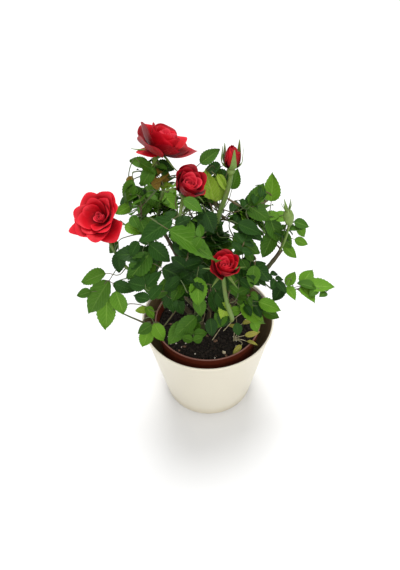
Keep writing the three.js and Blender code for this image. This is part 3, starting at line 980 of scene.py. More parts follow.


# %% Leaves listed one by one
# For each mass: tint, blade length in mm, tip in shares of the mass, heading, and the number of
# leaflet pairs where there are any.
led_leaves = {
    "left_spray": [
        ("mid", 40, (-0.75, -0.6, -0.35), (-0.6, -0.3, -0.8)),
        ("bright", 36, (0.0, -0.4, -1.1), (-0.1, -0.3, -1)),
        ("bright", 26, (0.8, -0.3, -0.5), (0.1, -0.2, -1)),
        ("mid", 23, (-0.75, 0.1, 0.7), (-0.9, 0, -0.3)),
        ("mid", 13, (-1.1, -0.1, 0.25), (-1, -0.1, -0.1)),
        ("dark", 19, (1.5, 0, 0.3), (0.9, -0.1, -0.4))],
    "left_shoulder": [
        ("mid", 30, (-0.2, -0.7, -0.1), (-0.5, -0.4, -0.7)),
        ("dark", 28, (-0.8, 0.2, 0.9), (-1, -0.1, 0.1)),
        ("dark", 22, (1.2, -0.2, 0.7), (0.7, -0.3, -0.6)),
        ("mid", 22, (0.3, -0.6, -1.0), (-0.1, -0.4, -0.9)),
        ("dark", 20, (-0.7, 0, 0), (0, -0.3, -1))],
    "left_middle": [
        ("mid", 14, (-1.6, -0.6, -1.7), (-0.6, -0.2, -0.8)),
        ("bright", 18, (0, -0.5, 0.2), (0.85, -0.35, -0.3)),
        ("mid", 18, (0.7, -0.2, 0.3), (0.8, -0.2, -0.4))],
    "left_upper": [
        ("mid", 20, (-0.1, -0.4, 0.1), (-0.25, -0.3, -0.8)),
        ("bright", 17, (-0.8, -0.4, -0.5), (-0.9, -0.3, -0.3)),
        ("mid", 15, (0.6, -0.2, 0), (0.3, -0.3, -0.7))],
    "top_left": [
        ("mid", 18, (0.3, -0.6, 0.4), (0.6, -0.2, -0.4)),
        ("mid", 19, (-0.4, -0.7, -0.3), (-0.5, -0.2, -0.6)),
        ("mid", 16, (-0.8, 0.3, 0.9), (-1, 0.1, 0.2)),
        ("dark", 16, (0.9, 0.2, 0.2), (0.9, 0, -0.4)),
        ("young", 12, (-0.9, -0.5, -0.7), (-0.3, -0.2, -0.9)),
        ("young", 11, (0.3, -0.5, -0.8), (0.3, -0.3, -0.8)),
        ("lime", 11, (0.8, -0.4, -0.6), (0.7, -0.3, 0.2)),
        ("young", 9, (0.7, -0.3, -0.2), (0.9, -0.2, 0.1))],
    "crown_front": [
        ("mid", 51, (0.8, -1.8, -0.62), (0.75, -0.05, -0.62)),
        ("dark", 32, (-1.05, -0.8, 0.2), (-0.8, -0.1, -0.5)),
        ("dark", 21, (0.75, 0.4, -0.1), (0.4, -0.2, -0.8)),
        ("mid", 18, (0.4, 0.5, 1.0), (0.8, -0.4, -0.4))],
    "crown_top": [
        ("lime", 27, (-0.5, -0.9, 0.5), (-0.25, 0.1, 0.9)),
        ("lime", 24, (0.1, -0.8, 0.2), (0.1, 0.1, 0.9)),
        ("mid", 18, (0.9, 0.2, 0), (0.3, 0.2, 0.8)),
        ("dark", 20, (-0.6, 0.5, -0.3), (-0.6, 0.2, -0.4)),
        ("dark", 20, (0.5, 0.3, -0.9), (0.5, 0, -0.7)),
        ("lime", 19, (0.5, -0.9, -0.5), (0.4, 0, -0.5)),
        ("mid", 20, (0.1, 0.6, 0.9), (0.85, 0.2, 0.5)),
        ("mid", 25, (0.2, -0.2, 0.3), (0.1, 0.1, 1))],
    "heart": [
        ("dark", 24, (0.1, -0.9, -1.0), (0.1, -0.4, -0.9)),
        ("dark", 22, (0.6, -0.8, -1.1), (0.5, -0.4, -0.8)),
        ("mid", 20, (0.35, -1.3, -0.8), (-0.3, -0.4, -0.9)),
        ("dark", 23, (-0.4, -0.9, -1.1), (-0.4, -0.4, -0.8)),
        ("dark", 22, (0.95, -0.8, -0.9), (0.5, -0.4, -0.8))],
    "right_upper": [
        ("mid", 21, (0.3, 0.3, 0.9), (0.5, 0.3, 0.75)),
        ("mid", 24, (0.6, -0.5, -0.7), (0.85, -0.35, -0.5))],
    "right_peak": [("bright", 24, (0.1, 0.2, 0.9), (0.08, 0.15, 1))],
    "right_side": [
        ("mid", 25, (-0.9, -0.7, -0.9), (-0.35, -0.4, -0.85)),
        ("mid", 24, (-0.35, -0.5, -0.1), (0.3, -0.4, -0.7)),
        ("mid", 19, (0.2, -0.5, -0.5), (0.5, -0.4, -0.6)),
        ("bright", 17, (-1.1, 0.3, 0.75), (-1, 0, -0.1)),
        ("bright", 17, (0.2, 0.3, 0.8), (1, 0, 0)),
        ("mid", 15, (0.9, 0, 0.4), (0.9, -0.1, -0.3)),
        ("bright", 13, (0.8, -0.2, 0), (0.6, -0.3, -0.7)),
        ("bright", 13, (0.9, -0.3, -0.4), (1, -0.2, -0.3)),
        ("bright", 17, (0.5, -0.6, -0.9), (0.8, -0.3, -0.5))],
    "right_middle": [
        ("mid", 27, (0.5, -0.6, -0.8), (0.9, -0.35, -0.4)),
        ("dark", 22, (0.6, 0, 0.5), (0.8, -0.1, -0.3))],
    "right_spray": [("bright", 25, (0.95, -0.3, 0.1), (1, -0.1, 0.15), 2)],
    "right_branch": [("dark", 20, (-0.6, -0.4, -0.9), (-0.5, -0.3, -0.9))],
    "front_right": [
        ("dark", 24, (-1.5, -0.2, -1.4), (-0.3, -0.3, -0.9)),
        ("mid", 22, (-0.7, -0.2, -1.3), (0.2, -0.3, -0.9)),
        ("dark", 22, (-1.0, -0.5, -2.0), (0.5, -0.3, -0.8)),
        ("mid", 20, (0, -0.7, -0.3), (-0.1, -0.45, -0.9)),
        ("dark", 20, (0.8, -0.3, -0.3), (0.6, -0.3, -0.7)),
        ("dark", 19, (-0.1, -0.3, -0.9), (0.5, -0.3, -0.7))],
    "front_left": [
        ("bright", 26, (0.5, -0.6, -0.8), (0, -0.5, -0.9)),
        ("dark", 29, (0.4, -0.3, 0.5), (0.9, -0.3, -0.3))],
    "low_right": [
        ("bright", 29, (0.2, -0.8, -0.3), (0.8, -0.4, -0.5)),
        ("bright", 22, (0.75, 0, 0.4), (0.9, -0.1, -0.25)),
        ("mid", 17, (0.7, -0.2, -0.3), (0.9, -0.2, -0.3)),
        ("bright", 14, (0, -0.9, -0.9), (0.4, -0.4, -0.85)),
        ("bright", 12, (-1, -0.2, 0.3), (-0.9, -0.2, 0.1)),
        ("dark", 18, (-1.2, -0.5, -0.8), (-0.2, -0.4, -0.9)),
        ("dark", 14, (-0.6, -0.6, -1.5), (0.2, -0.3, -0.9))],
    "low_front": [
        ("dark", 24, (1.0, 0.3, 0.4), (0.3, -0.4, -0.9)),
        ("dark", 24, (1.3, 0.6, -0.3), (0.2, -0.4, -0.9)),
        ("mid", 20, (0.9, -0.1, -0.2), (-0.4, -0.4, -0.8)),
        ("mid", 26, (-0.75, -0.7, -0.9), (-0.55, -0.5, -0.75)),
        ("mid", 27, (-0.6, -0.8, -0.2), (-0.8, -0.4, -0.5)),
        ("dark", 19, (0.7, -0.4, -0.6), (0, -0.4, -0.9)),
        ("mid", 20, (0.4, 0, 0.5), (0.1, -0.4, -0.8))],
    "middle_back": [
        ("mid", 24, (-0.3, -0.8, 0.4), (-0.3, -0.6, -0.4)),
        ("mid", 22, (0.4, -0.9, 0.2), (0.4, -0.6, -0.4))],
    "left_back": [
        ("mid", 24, (0.2, -0.9, 0.6), (0.3, -0.6, -0.3)),
        ("bright", 22, (0.8, -0.9, 0.5), (0.5, -0.6, -0.3)),
        ("mid", 22, (-0.3, -1.0, 0.4), (-0.4, -0.6, -0.4))],
    "low_left": [
        ("bright", 20, (-0.4, -0.6, -0.9), (-0.25, -0.5, -0.85)),
        ("bright", 21, (0.8, -0.5, -0.5), (0.45, -0.4, -0.8)),
        ("mid", 16, (-0.7, -0.2, -0.1), (-0.8, -0.2, -0.5)),
        ("lime", 12, (-0.7, 0.2, 1.3), (-1, 0, 0)),
        ("bright", 14, (0.4, 0, 0.9), (0.6, -0.2, -0.7)),
        ("dark", 24, (1.3, 0.7, 0.7), (0.1, -0.4, -0.9)),
        ("dark", 22, (0.8, 0.9, 0.9), (-0.4, -0.4, -0.8)),
        ("dark", 20, (1.8, 1.0, 0.3), (0.3, -0.4, -0.8)),
        ("mid", 19, (0.5, 1.2, 1.3), (-0.5, -0.3, -0.8))],
}
led_dice = random.Random(41)
for mass, leads in led_leaves.items():
    middle, half = mass_middle["leaves_" + mass], mass_half["leaves_" + mass]
    for tint, length, share, heading, *pairs in leads:
        tip = middle + scaled(share, half)
        face = (VIEW_FACE + wobble(led_dice, 0.22)).normalized()
        grow_leaf(tip, Vector(heading).normalized(), length * MM, sum(pairs), tint, face,
                  led_dice)
print(sum(map(len, led_leaves.values())), "leaves led by hand")

# %% Grow the rest
FIRST_MASS_SEED = 100
TIP_TOP, TIP_SPAN = 0.95, 1.6  # rise of the first tip, and how far the rise falls to the last
OUT_OF_MASS, OUT_OF_BUSH = 0.9, 0.35  # how much a leaf heads out of its mass, and of the bush
LEAF_STRAY = 0.3
SEEDED_PAIRS = 2
for seed, node in enumerate(mass_names, FIRST_MASS_SEED):
    habit = habits[node.removeprefix("leaves_")]
    dice = random.Random(seed)
    middle, half = mass_middle[node], mass_half[node]
    first_turn = dice.uniform(0, math.tau)
    for number in range(habit["leaves"]):
        share = (number + 0.5) / habit["leaves"]
        way = round_way(TIP_TOP - TIP_SPAN * share, first_turn + GOLDEN_TURN * number)
        heading = OUT_OF_MASS * way + OUT_OF_BUSH * outward(middle) + habit["lean"]
        heading += wobble(dice, LEAF_STRAY)
        tip = middle + habit["skin"] * scaled(way, half)
        tint = habit["tints"][number % len(habit["tints"])]
        in_front = max(0.0, -outward(tip).y)
        face = Vector((0, 0, 1)) + OUTWARD_FACE * outward(tip)
        face += wobble(dice, LEAF_STRAY)
        face += in_front * VIEW_FACE
        grow_leaf(tip, heading.normalized(), habit["blade"] * dice.uniform(0.8, 1.1),
                  SEEDED_PAIRS, tint, face.normalized(), dice)
print({tint: len(placed) for tint, placed in placed_blades.items()}, "blades")

# %% [markdown]
# ## One petal
# A rose petal is a thin spoon: a narrow foot, a broad round top, a belly that wraps round the
# flower and a rim that rolls back as the flower opens. It could be sculpted from a plane for
# each petal, but all of them follow one rule. The petal's middle line leans out from the
# flower's axis by an angle that changes on the way up, and the blade wraps round the axis at
# that distance. Inner petals lean in and close the heart, and outer ones lean out and roll.

# %% Shape a petal
PETAL = {"across": 6, "up": 7, "thickness": 0.35 * MM, "round_top": 0.20, "point": 0.12}
PETAL_STEPS = 25  # along a petal's middle line
NEAREST = 0.25 * MM  # how near to the axis a petal may come
LEAN_STATIONS = (0.0, 0.35, 0.7, 0.88, 1.0)  # shares of the petal's length
LEAN_HEART = (38, 8, -14, -20, -12)  # degrees out from the axis, in the heart
LEAN_BUD = (68, 14, -18, -28, -18)  # round the bud, broad below and closed above
LEAN_FLAT = (82, 62, 50, 84, 136)  # on the outermost petal of a wide open bloom
LEAN_SAUCER = (88, 76, 48, 46, 84)  # on the outermost petal of a bloom seen from its side
LEAN_BOWL = (88, 60, 20, 40, 112)  # on the outermost petal of a bowl
WRAP_LIMIT = 1.5  # radians either side that a petal wraps round the axis at most


def petal_line(outer_lean, openness, length, root):
    """Distance from the axis and height up the flower, at even steps along a petal."""
    steps = np.linspace(0, 1, PETAL_STEPS)
    closed = np.interp(steps, LEAN_STATIONS, LEAN_HEART)
    opened = np.interp(steps, LEAN_STATIONS, outer_lean)
    lean = np.radians(closed + (opened - closed) * openness)
    stride = length / (len(steps) - 1)
    out = root + np.concatenate([[0], np.cumsum(np.sin(lean[1:])) * stride])
    up = np.concatenate([[0], np.cumsum(np.cos(lean[1:])) * stride])
    return steps, np.maximum(out, NEAREST), up


def add_petal(shape, turn, outer_lean, openness, length, half_width, root, finish, dice,
              point=PETAL["point"]):
    """Adds one petal to a flower that stands on the origin and faces +Z."""
    steps, out, up = petal_line(outer_lean, openness, length, root)
    made = bmesh.ops.create_grid(shape, x_segments=PETAL["across"], y_segments=PETAL["up"],
                                 size=0.5)["verts"]
    rim = shape.verts.layers.float["rim"]
    ruffle, phase = dice.uniform(0.5, 1.8) * (0.3 + openness), dice.uniform(0, math.tau)
    skew = dice.uniform(-0.12, 0.12)
    for vertex in made:
        side, along = 2 * vertex.co.x, vertex.co.y + 0.5
        reach = along * (1 - PETAL["round_top"] * side * side + point * (1 - abs(side)))
        reach = min(1.0, reach / (1 + point))
        radius = float(np.interp(reach, steps, out))
        height = float(np.interp(reach, steps, up))
        width = half_width * min(1.0, (0.16 + reach) ** 0.6)
        wrap = max(-WRAP_LIMIT, min(WRAP_LIMIT, width / radius)) * side
        radius += (0.9 * MM + 0.4 * MM * openness) * side + skew * MM * along * side
        wave = ruffle * MM * along ** 3 * math.sin(5 * side + phase)
        angle = turn + wrap
        vertex.co = (radius * math.cos(angle), radius * math.sin(angle), height + wave)
        vertex[rim] = along
    for face in {face for vertex in made for face in vertex.link_faces}:
        face.material_index = finish


# %% [markdown]
# ## Petal finishes
# The open petals are a strong scarlet. Their rims are painted paler, a painted velvet sheen, and
# their feet are painted almost black, as painted shade deep in the flower. Petals in shade and on the
# flower's back get a darker crimson copy, partly their own darker backs and partly painted shade. The
# heart gets a pinker copy, a painted highlight where the light catches its rolled rims. The shader's
# own sheen is set on the shader itself, because it's the same all over, and the colour runs from foot
# to rim by the petal's own "rim" value.

# %% Petal paint
def petal_paint(name, foot, blade_tone, edge):
    """A velvety petal: a painted shade colour at its foot, one over its blade and a painted sheen
    along its rim.
    """
    petal = Shader(name, Sheen_Weight=0.06, Sheen_Roughness=0.4, Specular_IOR_Level=0.22,
                   Sheen_Tint=(1.0, 0.30, 0.35, 1))
    along = petal.add("ShaderNodeAttribute", {"attribute_name": "rim"}, output=2)
    fibre = petal.noise(420, detail=3, at=petal.place((1, 1, 0.35)))
    cloud = petal.noise(110, detail=2)
    # The foot colour is painted shade, over the lower part of the petal that lies deep in the flower.
    body = petal.mix(petal.between(along, 0.15, 0.75), foot, blade_tone)
    # lit: the rim is painted paler, a painted sheen highlight.
    lit = petal.mix(petal.between(along, 0.78, 1.0) * 0.75, body, edge)
    shaded = petal.mix(petal.between(cloud, 0.5, 0.8) * 0.4, lit, foot)
    return petal.set(Base_Color=shaded, Roughness=0.42 + 0.2 * fibre,
                     Normal=petal.bump(fibre, 0.25 * MM, 0.6))


# crimson is a darker copy of scarlet, partly the petals' own darker backs and partly painted shade;
# heart is a pinker, paler copy, a painted highlight on the rolled heart.
petal_paints = [
    petal_paint("petal_scarlet", (0.150, 0.0006, 0.003), (0.520, 0.0020, 0.010),
                (0.680, 0.0120, 0.028)),
    petal_paint("petal_crimson", (0.070, 0.0004, 0.002), (0.250, 0.0008, 0.005),
                (0.400, 0.0024, 0.012)),
    petal_paint("petal_heart", (0.250, 0.0015, 0.008), (0.700, 0.0200, 0.050),
                (0.800, 0.0600, 0.085)),
]
SCARLET, CRIMSON, HEART = range(3)

# %% [markdown]
# ## Blooms
# Each bloom is a spiral of petals, the next always a golden angle round from the last, so no
# two lie in line. It faces where its solid in the frame faces and fills the same room. The four
# differ in age: the left one is wide open, the top one leans back and shows its side, the
# middle one has a dark outside round a bright ruffled heart, and the front one is a round cup.
# For each: its petals, how open it is, the lean of its outermost petal, the shares of the petals
# up to which it is heart and from which it is crimson, how ragged it is, and its seed. "hollow"
# lowers the heart, "swell" widens the bloom, and "fallen" is the way that one loose petal hangs.

# %% Build a bloom
BLOOM_FOOT = 0.62  # how far the petals' foot lies behind the bloom's middle, in its depths
INNER_TALL, OUTER_TALLER = 0.74, 0.64  # length of the inmost petal, and the outmost one's gain
INNER_BROAD, OUTER_BROADER = 0.34, 0.36  # the same for half its width, all in bloom radii
INNER_ROOT, OUTER_ROOT = 0.3 * MM, 2.2 * MM  # and for how far from the axis it grows
FALLEN_POINT = 0.7  # how far the fallen petal's tip is drawn out
blooms = {
    "left": {"petals": 27, "open": 1.0, "lean": LEAN_FLAT, "heart": 0.30, "front": 1.0,
             "ragged": 1.6, "seed": 3, "hollow": 0.34, "fallen": (-1, -0.25, -0.2),
             "fallen_reach": 1.45},
    "top": {"petals": 24, "open": 1.0, "lean": LEAN_SAUCER, "heart": 0.35, "front": 0.72,
            "ragged": 1.5, "seed": 21, "swell": 1.12, "fallen": (-1, -0.5, 0.1),
            "fallen_reach": 0.85},
    "middle": {"petals": 30, "open": 0.78, "lean": LEAN_BOWL, "heart": 0.62, "front": 0.62,
               "ragged": 0.8, "seed": 5},
    "front": {"petals": 26, "open": 0.84, "lean": LEAN_BOWL, "heart": 0.48, "front": 0.74,
              "ragged": 0.8, "seed": 13},
}


def finished(name, shape, setting, thickness):
    """A thin-walled mesh of the shape, set in its place, with its thickness and smoothing."""
    bmesh.ops.transform(shape, matrix=setting, verts=shape.verts)
    mesh = bpy.data.meshes.new(name)
    shape.to_mesh(mesh)
    shape.free()
    holder = bpy.data.objects.new(name, mesh)
    scene.collection.objects.link(holder)
    wall = holder.modifiers.new("wall", "SOLIDIFY")
    wall.thickness = thickness
    wall.offset = 0
    soft = holder.modifiers.new("soft", "SUBSURF")
    soft.levels = soft.render_levels = 1
    graph = bpy.context.evaluated_depsgraph_get()
    done = bpy.data.meshes.new_from_object(holder.evaluated_get(graph))
    bpy.data.objects.remove(holder)
    done.name = name
    return done


def bloom_mesh(name, bloom):
    """A spiral of petals, from a tight heart to open outer petals."""
    node = "bloom_" + name
    low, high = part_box(node)
    radius = max(high - low) / 2 * bloom.get("swell", 1.0)
    depth = flowers[node]["depth"]
    dice = random.Random(bloom["seed"])
    shape = bmesh.new()
    shape.verts.layers.float.new("rim")
    for number in range(bloom["petals"]):
        share = (number + 0.5) / bloom["petals"]
        stray = bloom["ragged"] * share
        opened = share ** 1.1
        tall = INNER_TALL + OUTER_TALLER * share
        if share < bloom["heart"]:
            tall -= bloom.get("hollow", 0)
        elif "hollow" in bloom:
            opened = bloom["hollow"] + (1 - bloom["hollow"]) * opened
        openness = bloom["open"] * opened * (1 + 0.16 * stray * dice.uniform(-1, 1))
        length = radius * tall * (1 + 0.12 * stray * dice.uniform(-1, 1))
        finish = HEART if share < bloom["heart"] else SCARLET
        if share > bloom["front"]:
            finish = CRIMSON
        turn = number * GOLDEN_TURN + 0.25 * stray * dice.uniform(-1, 1)
        add_petal(shape, turn, bloom["lean"], openness, length,
                  radius * (INNER_BROAD + OUTER_BROADER * share),
                  INNER_ROOT + OUTER_ROOT * share, finish, dice)
    if "fallen" in bloom:
        way = flower_frame(node).to_3x3().inverted() @ Vector(bloom["fallen"])
        fall = math.degrees(way.angle(Vector((0, 0, 1))))
        add_petal(shape, math.atan2(way.y, way.x), (60, fall, fall, fall + 8, fall + 16), 1.0,
                  bloom["fallen_reach"] * radius, 0.6 * radius, 2 * MM, SCARLET, dice,
                  point=FALLEN_POINT)
    sink = Matrix.Translation((0, 0, -BLOOM_FOOT * depth))
    return finished("rose_" + name, shape, flower_frame(node) @ sink, PETAL["thickness"])


for name, bloom in blooms.items():
    piece("rose_" + name, bloom_mesh(name, bloom), petal_paints,
          ["bloom_" + name], sharp=75)

# %% [markdown]
# ## The bud
# The bud is the same spiral, closed: a few broad petals wrapped right round each other, with painted
# shade dark at the foot, and the tip just loosening.

# %% Build the bud
bud_low, bud_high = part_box("bud_top")
bud_length = bud_high.z - bud_low.z
bud_width = (bud_high.x - bud_low.x) / 2
bud_dice = random.Random(4)
bud_shape = bmesh.new()
bud_shape.verts.layers.float.new("rim")
BUD_PETALS = 11
BUD_TALL, BUD_BROAD = 0.62, 1.3  # a petal's length and half width, in the bud's own
BUD_FOOT = 0.26  # how far its foot lies behind the bud's middle, in its lengths
for number in range(BUD_PETALS):
    share = number / (BUD_PETALS - 1)
    add_petal(bud_shape, number * GOLDEN_TURN, LEAN_BUD, 0.5 + 0.5 * share,
              bud_length * (BUD_TALL - 0.06 * share), bud_width * BUD_BROAD, (0.4 + 1.3 * share) * MM,
              SCARLET if number % 4 == 3 else CRIMSON, bud_dice)
bud_sink = Matrix.Translation((0, 0, -BUD_FOOT * bud_length))
bud_mesh = finished("rose_bud", bud_shape, flower_frame("bud_top") @ bud_sink,
                    PETAL["thickness"])
piece("rose_bud", bud_mesh, petal_paints, ["bud_top"], sharp=75)

# %% [markdown]
# ## Calyxes, sepals and the hip
# Under each flower sits a green cup, and from its rim spring five narrow sepals with long thin
# tips: folded back under an open bloom, upright round the bud. The hip is the same cup, swollen
# after its petals fell, with its sepals still on top. A cup is a half section turned once, and
# a sepal a narrow tapered grid.

# %% Green cup finish
cup_green = Shader("calyx_green", Specular_IOR_Level=0.3)
cup_streak = cup_green.noise(330, detail=3)
cup_tone = cup_green.mix(cup_streak, (0.075, 0.150, 0.025), (0.240, 0.340, 0.080))
calyx_paint = cup_green.set(Base_Color=cup_tone, Roughness=0.45 + 0.15 * cup_streak,
                            Normal=cup_green.bump(cup_streak, 0.2 * MM))

# %% Cups and sepals
SEPAL = {"across": 2, "up": 9, "thickness": 0.3 * MM}
SEPAL_STEPS = 21  # along a sepal's middle line
SEPALS = 5


CUP_SIDES = 16


def add_cup(shape, bottom, height, radius):
    """A closed round cup with a narrow neck, standing on a height below the origin."""
    section = [(0, 0), (0.5, 0.05), (0.95, 0.4), (1.0, 0.65), (0.8, 0.9), (0.45, 1.0), (0, 1)]
    line = [shape.verts.new((radius * r, 0, bottom + height * z)) for r, z in section]
    edges = [shape.edges.new(pair) for pair in zip(line, line[1:])]
    bmesh.ops.spin(shape, geom=line + edges, cent=(0, 0, 0), axis=(0, 0, 1),
                   angle=math.tau, steps=CUP_SIDES, use_merge=True)


def add_sepal(shape, turn, start, lean, length, width, hug, dice):
    """A narrow sepal from a (radius, height), leaning out by angles from foot to tip."""
    made = bmesh.ops.create_grid(shape, x_segments=SEPAL["across"], y_segments=SEPAL["up"],
                                 size=0.5)["verts"]
    steps = np.linspace(0, 1, SEPAL_STEPS)
    angle = np.radians(np.interp(steps, (0, 0.5, 1), lean))
    out = start[0] + np.cumsum(np.sin(angle)) * length / SEPAL_STEPS
    up = start[1] + np.cumsum(np.cos(angle)) * length / SEPAL_STEPS
    twist = dice.uniform(-0.4, 0.4)
    for vertex in made:
        side, along = 2 * vertex.co.x, vertex.co.y + 0.5
        half = width * (0.75 * (1 - along) ** 0.8 + 0.25 * (1 - along) + 0.05)
        radius = float(np.interp(along, steps, out))
        height = float(np.interp(along, steps, up)) + 0.2 * width * abs(side)
        across = half * side + twist * length * 0.2 * along * along
        wrap = turn + across / max(radius, 1.5 * MM) * hug
        flat = Vector((radius * math.cos(wrap), radius * math.sin(wrap), height))
        flat += (1 - hug) * across * Vector((-math.sin(turn), math.cos(turn), 0))
        vertex.co = flat


# For each: its cup's radius and its sepals' length and width in mm, their lean, and whether they
# hug the flower (1) or stand flat (0).
flower_greens = {
    "bloom_left": {"cup": 3.6, "lean": (70, 120, 140), "length": 19, "width": 2.0, "hug": 0},
    "bloom_top": {"cup": 3.8, "lean": (95, 112, 90), "length": 22, "width": 2.4, "hug": 0},
    "bloom_middle": {"cup": 3.3, "lean": (60, 100, 130), "length": 17, "width": 1.8, "hug": 0},
    "bloom_front": {"cup": 3.2, "lean": (80, 105, 100), "length": 18, "width": 1.8, "hug": 0},
    "bud_top": {"cup": 3.4, "lean": (72, -6, 4), "length": 25, "width": 3.6, "hug": 1},
    "hip_right": {"cup": 4.4, "lean": (20, 25, 5), "length": 10, "width": 1.4, "hug": 0},
}
calyx_dice = random.Random(6)
calyx_parts = []
for node, green in flower_greens.items():
    cup_shape = bmesh.new()
    depth, cup = flowers[node]["depth"], green["cup"] * MM
    if node == "hip_right":
        add_cup(cup_shape, -0.9 * depth, 1.5 * depth, cup)
        collar = (0.35 * cup, 0.52 * depth)
    else:
        add_cup(cup_shape, -depth, 0.42 * depth, cup)
        collar = (0.8 * cup, -0.62 * depth)
    bmesh.ops.remove_doubles(cup_shape, verts=cup_shape.verts, dist=1e-6)
    bmesh.ops.recalc_face_normals(cup_shape, faces=cup_shape.faces)
    setting = flower_frame(node)
    bmesh.ops.transform(cup_shape, matrix=setting, verts=cup_shape.verts)
    cup_mesh = bpy.data.meshes.new("cup")
    cup_shape.to_mesh(cup_mesh)
    cup_shape.free()
    sepal_shape = bmesh.new()
    for number in range(SEPALS):
        turn = math.tau * number / SEPALS + calyx_dice.uniform(-0.2, 0.2)
        add_sepal(sepal_shape, turn, collar, green["lean"],
                  green["length"] * MM * calyx_dice.uniform(0.85, 1.1), green["width"] * MM,
                  green["hug"], calyx_dice)
    calyx_parts += [cup_mesh, finished("sepals", sepal_shape, setting, SEPAL["thickness"])]

calyx_shape = bmesh.new()
for part in calyx_parts:
    calyx_shape.from_mesh(part)
calyx_mesh = bpy.data.meshes.new("calyxes")
calyx_shape.to_mesh(calyx_mesh)
calyx_shape.free()
piece("calyxes_and_hip", calyx_mesh, [calyx_paint], ["hip_right"], sharp=60)

# %% [markdown]
# ## Crumbs on the soil
# Potting soil is never smooth: peat crumbs of all sizes, a few white grains of perlite, chips of
# bark and a few pale pebbles lie on it. Bump alone leaves a flat sheet with a pattern. Here a ball
# of few faces is knocked out of round and strewn by a seeded rule, each kind joined into one
# piece that lies on the soil.

# %% Strew grains
GRAIN_REACH = 0.93  # how far out over the soil grains lie, as a share of its radius
GRAIN_LUMPS = 0.35  # how far out of round a grain is knocked
GRAIN_SUNK = 0.45  # how high its middle lies, in its own half heights


def strewn(name, count, size, flat, dice, band):
    """Joined uneven grains that rest on the soil, in a band across it from front to back."""
    shape = bmesh.new()
    for _ in range(count):
        distance = SOIL_RADIUS * GRAIN_REACH * math.sqrt(dice.random())
        turn = dice.uniform(0, math.tau)
        x = distance * math.cos(turn)
        y = distance * math.sin(turn)
        if not band[0] <= y / SOIL_RADIUS <= band[1]:
            continue
        grain = bmesh.ops.create_icosphere(shape, subdivisions=1, radius=1.0)["verts"]
        reach = dice.uniform(*size) * MM
        seed = Vector((dice.uniform(0, 90), 0, 0))
        for vertex in grain:
            vertex.co *= 1 + GRAIN_LUMPS * noise.noise(1.7 * vertex.co + seed)
        squash = Matrix.Diagonal((reach, reach * dice.uniform(0.6, 1), reach * flat, 1))
        lie = Matrix.Translation((x, y, soil_height(x, y) + GRAIN_SUNK * reach * flat))
        roll = Matrix.Rotation(dice.uniform(0, math.tau), 4, "Z")
        tip = Matrix.Rotation(dice.uniform(-0.4, 0.4), 4, "X")
        bmesh.ops.transform(shape, matrix=lie @ roll @ tip @ squash, verts=grain)
    mesh = bpy.data.meshes.new(name)
    shape.to_mesh(mesh)
    shape.free()
    return mesh


grain_dice = random.Random(31)
crumb_paint = mineral("peat_crumb", (0.003, 0.002, 0.0015), (0.028, 0.019, 0.012), 900, 0.9)
pebble_paint = mineral("pebble", (0.33, 0.27, 0.16), (0.62, 0.54, 0.38), 300, 0.7)
whole, front = (-1.0, 1.0), (-0.9, -0.2)  # bands across the soil, in shares of its radius
for name, count, size, flat, paint, band, sharp in (
        ("soil_crumbs", 900, (0.6, 2.3), 0.75, crumb_paint, whole, 80),
        ("perlite_grains", 46, (0.5, 1.3), 0.85, perlite_paint, whole, 80),
        ("bark_chips", 34, (1.2, 3.4), 0.35, bark_paint, whole, 40),
        ("pebbles", 9, (1.6, 2.8), 0.7, pebble_paint, front, 80)):
    piece(name, strewn(name, count, size, flat, grain_dice, band), [paint],
          sharp=sharp)

# %% [markdown]
# ## Withered leaves and dry straws
# At the right, near the rim, a few yellow leaves hang over the soil on dry brown stems, and two
# pale straws lie across the middle. They are grown and joined as the green ones are.

# %% Withered leaves
WITHERED_BREADTH = 0.6  # a withered leaflet curls lengthwise, so it looks narrow
DRY_STEM = {"foot": 0.55 * MM, "tip": 0.30 * MM, "steps": 9}
soil_top = Vector((0, 0, SOIL_LEVEL))
dry_runs = []
dry_dice = random.Random(17)
dry_root = soil_top + Vector((25, -24, 0)) * MM
# The foot of each blade in mm over the soil, its heading, and its length in mm.
for foot, way, length in (
        ((33, -20, 22), (1, 0.2, 0.3), 13), ((35, -28, 14), (1, 0.1, 0.25), 15),
        ((32, -34, 7), (-0.5, -0.5, -0.1), 13), ((37, -31, 9), (0.8, -0.4, 0), 12),
        ((28, -18, 16), (-1, 0, 0.2), 9)):
    foot, way = soil_top + Vector(foot) * MM, Vector(way).normalized()
    path = bend(dry_root, Vector((0, 0, 1)), foot, way, DRY_STEM["steps"])
    dry_runs.append(tapered(DRY_STEM, path))
    lay_blade(foot, way, length * MM, (VIEW_FACE + wobble(dry_dice, 0.5)).normalized(),
              "withered", dry_dice.random(), dry_dice)
for _, axes, _, _ in placed_blades["withered"]:
    for row in axes:
        row[0] *= WITHERED_BREADTH
print(len(placed_blades["withered"]), "withered leaflets")

# %% Dry straws
STRAW = {"foot": 0.42 * MM, "tip": 0.42 * MM, "steps": 11}
for start, end in (((4, -25, 4), (24, -15, 20)), ((15, -21, 13), (40, -9, 27))):
    foot, head = soil_top + Vector(start) * MM, soil_top + Vector(end) * MM
    rise = (head - foot + Vector((0, 0, 0.01))).normalized()
    dry_runs.append(tapered(STRAW, bend(foot, rise, head, Vector((1, 0, 0.1)), STRAW["steps"])))
straw_paint = mineral("dry_straw", (0.30, 0.25, 0.13), (0.62, 0.56, 0.36), 700, 0.7)
piece("dry_stems", tubes("dry_stems", dry_runs, 1), [straw_paint], sharp=60)

# %% One young leaflet by the front stalk
lay_blade(mass_middle["leaves_low_right"] + Vector((-26, 0, 14)) * MM, Vector((-0.5, -0.3, -1)),
          19 * MM, VIEW_FACE.normalized(), "lime", 0.9, dry_dice)
print(len(placed_blades["lime"]), "lime leaflets")

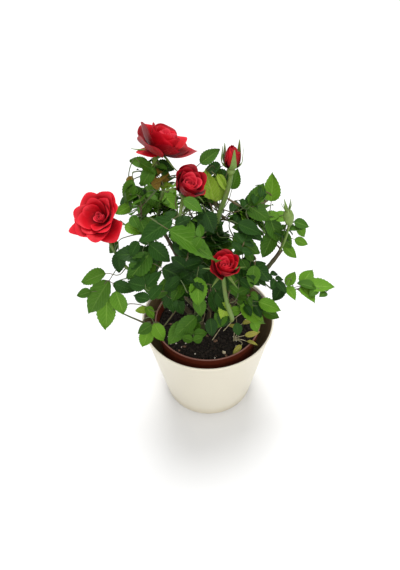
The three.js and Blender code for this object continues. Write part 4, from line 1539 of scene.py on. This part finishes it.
# %% [markdown]
# ## Leaves and twigs as pieces
# Everything that grew is joined, each kind apart: one mesh of blades for each tint, and one of
# boughs and midstalks. Together they stand for the leafy masses of the frame.

# %% Twig finish
twig = Shader("twig_skin", Specular_IOR_Level=0.35)
twig_patch = twig.between(twig.noise(45, detail=3), 0.42, 0.62)
twig_streak = twig.noise(300, detail=2, at=twig.place((1, 1, 0.2)))
twig_tone = twig.mix(twig_streak, (0.050, 0.085, 0.024), (0.130, 0.175, 0.055))
twig_paint = twig.set(Base_Color=twig.mix(twig_patch * 0.7, twig_tone, (0.115, 0.055, 0.032)),
                      Roughness=0.5 + 0.2 * twig_streak,
                      Normal=twig.bump(twig_streak, 0.12 * MM))

# %% Join and place them
twig_mesh = tubes("twigs", bough_runs + petiole_runs, 1)
piece("twigs", twig_mesh, [twig_paint], sharp=60)
stood_in = mass_names
for tint, placed in placed_blades.items():
    if placed:
        leaf_mesh = joined("leaves_" + tint, placed)
        piece("foliage_" + tint, leaf_mesh, [leaf_paints[tint]], stood_in, sharp=70)
        stood_in = ()

# %% [markdown]
# ## The floor, and the end
# The floor is a wide pale sheet that the pot stands on. It only belongs to the studio.

# %% Floor
FLOOR_SIZE = 12.0
FLOOR_DROP = 0.0002  # just under the pot, so the two faces don't share a plane


def floor_sheet():
    """A square sheet under the pot."""
    mesh = bpy.data.meshes.new("studio_floor")
    shape = bmesh.new()
    bmesh.ops.create_grid(shape, x_segments=1, y_segments=1, size=FLOOR_SIZE / 2)
    bmesh.ops.translate(shape, verts=shape.verts, vec=(0, 0, -FLOOR_DROP))
    shape.to_mesh(mesh)
    shape.free()
    floor = bpy.data.objects.new("studio_floor", mesh)
    scene.collection.objects.link(floor)
    return floor


floor = floor_sheet()
floor_paint = Shader("studio_floor", Roughness=0.9, Specular_IOR_Level=0.1)
floor_tone = floor_paint.noise(0.8)
floor.data.materials.append(floor_paint.set(
    Base_Color=floor_paint.mix(floor_tone, (0.77, 0.77, 0.77), (0.79, 0.79, 0.79))))
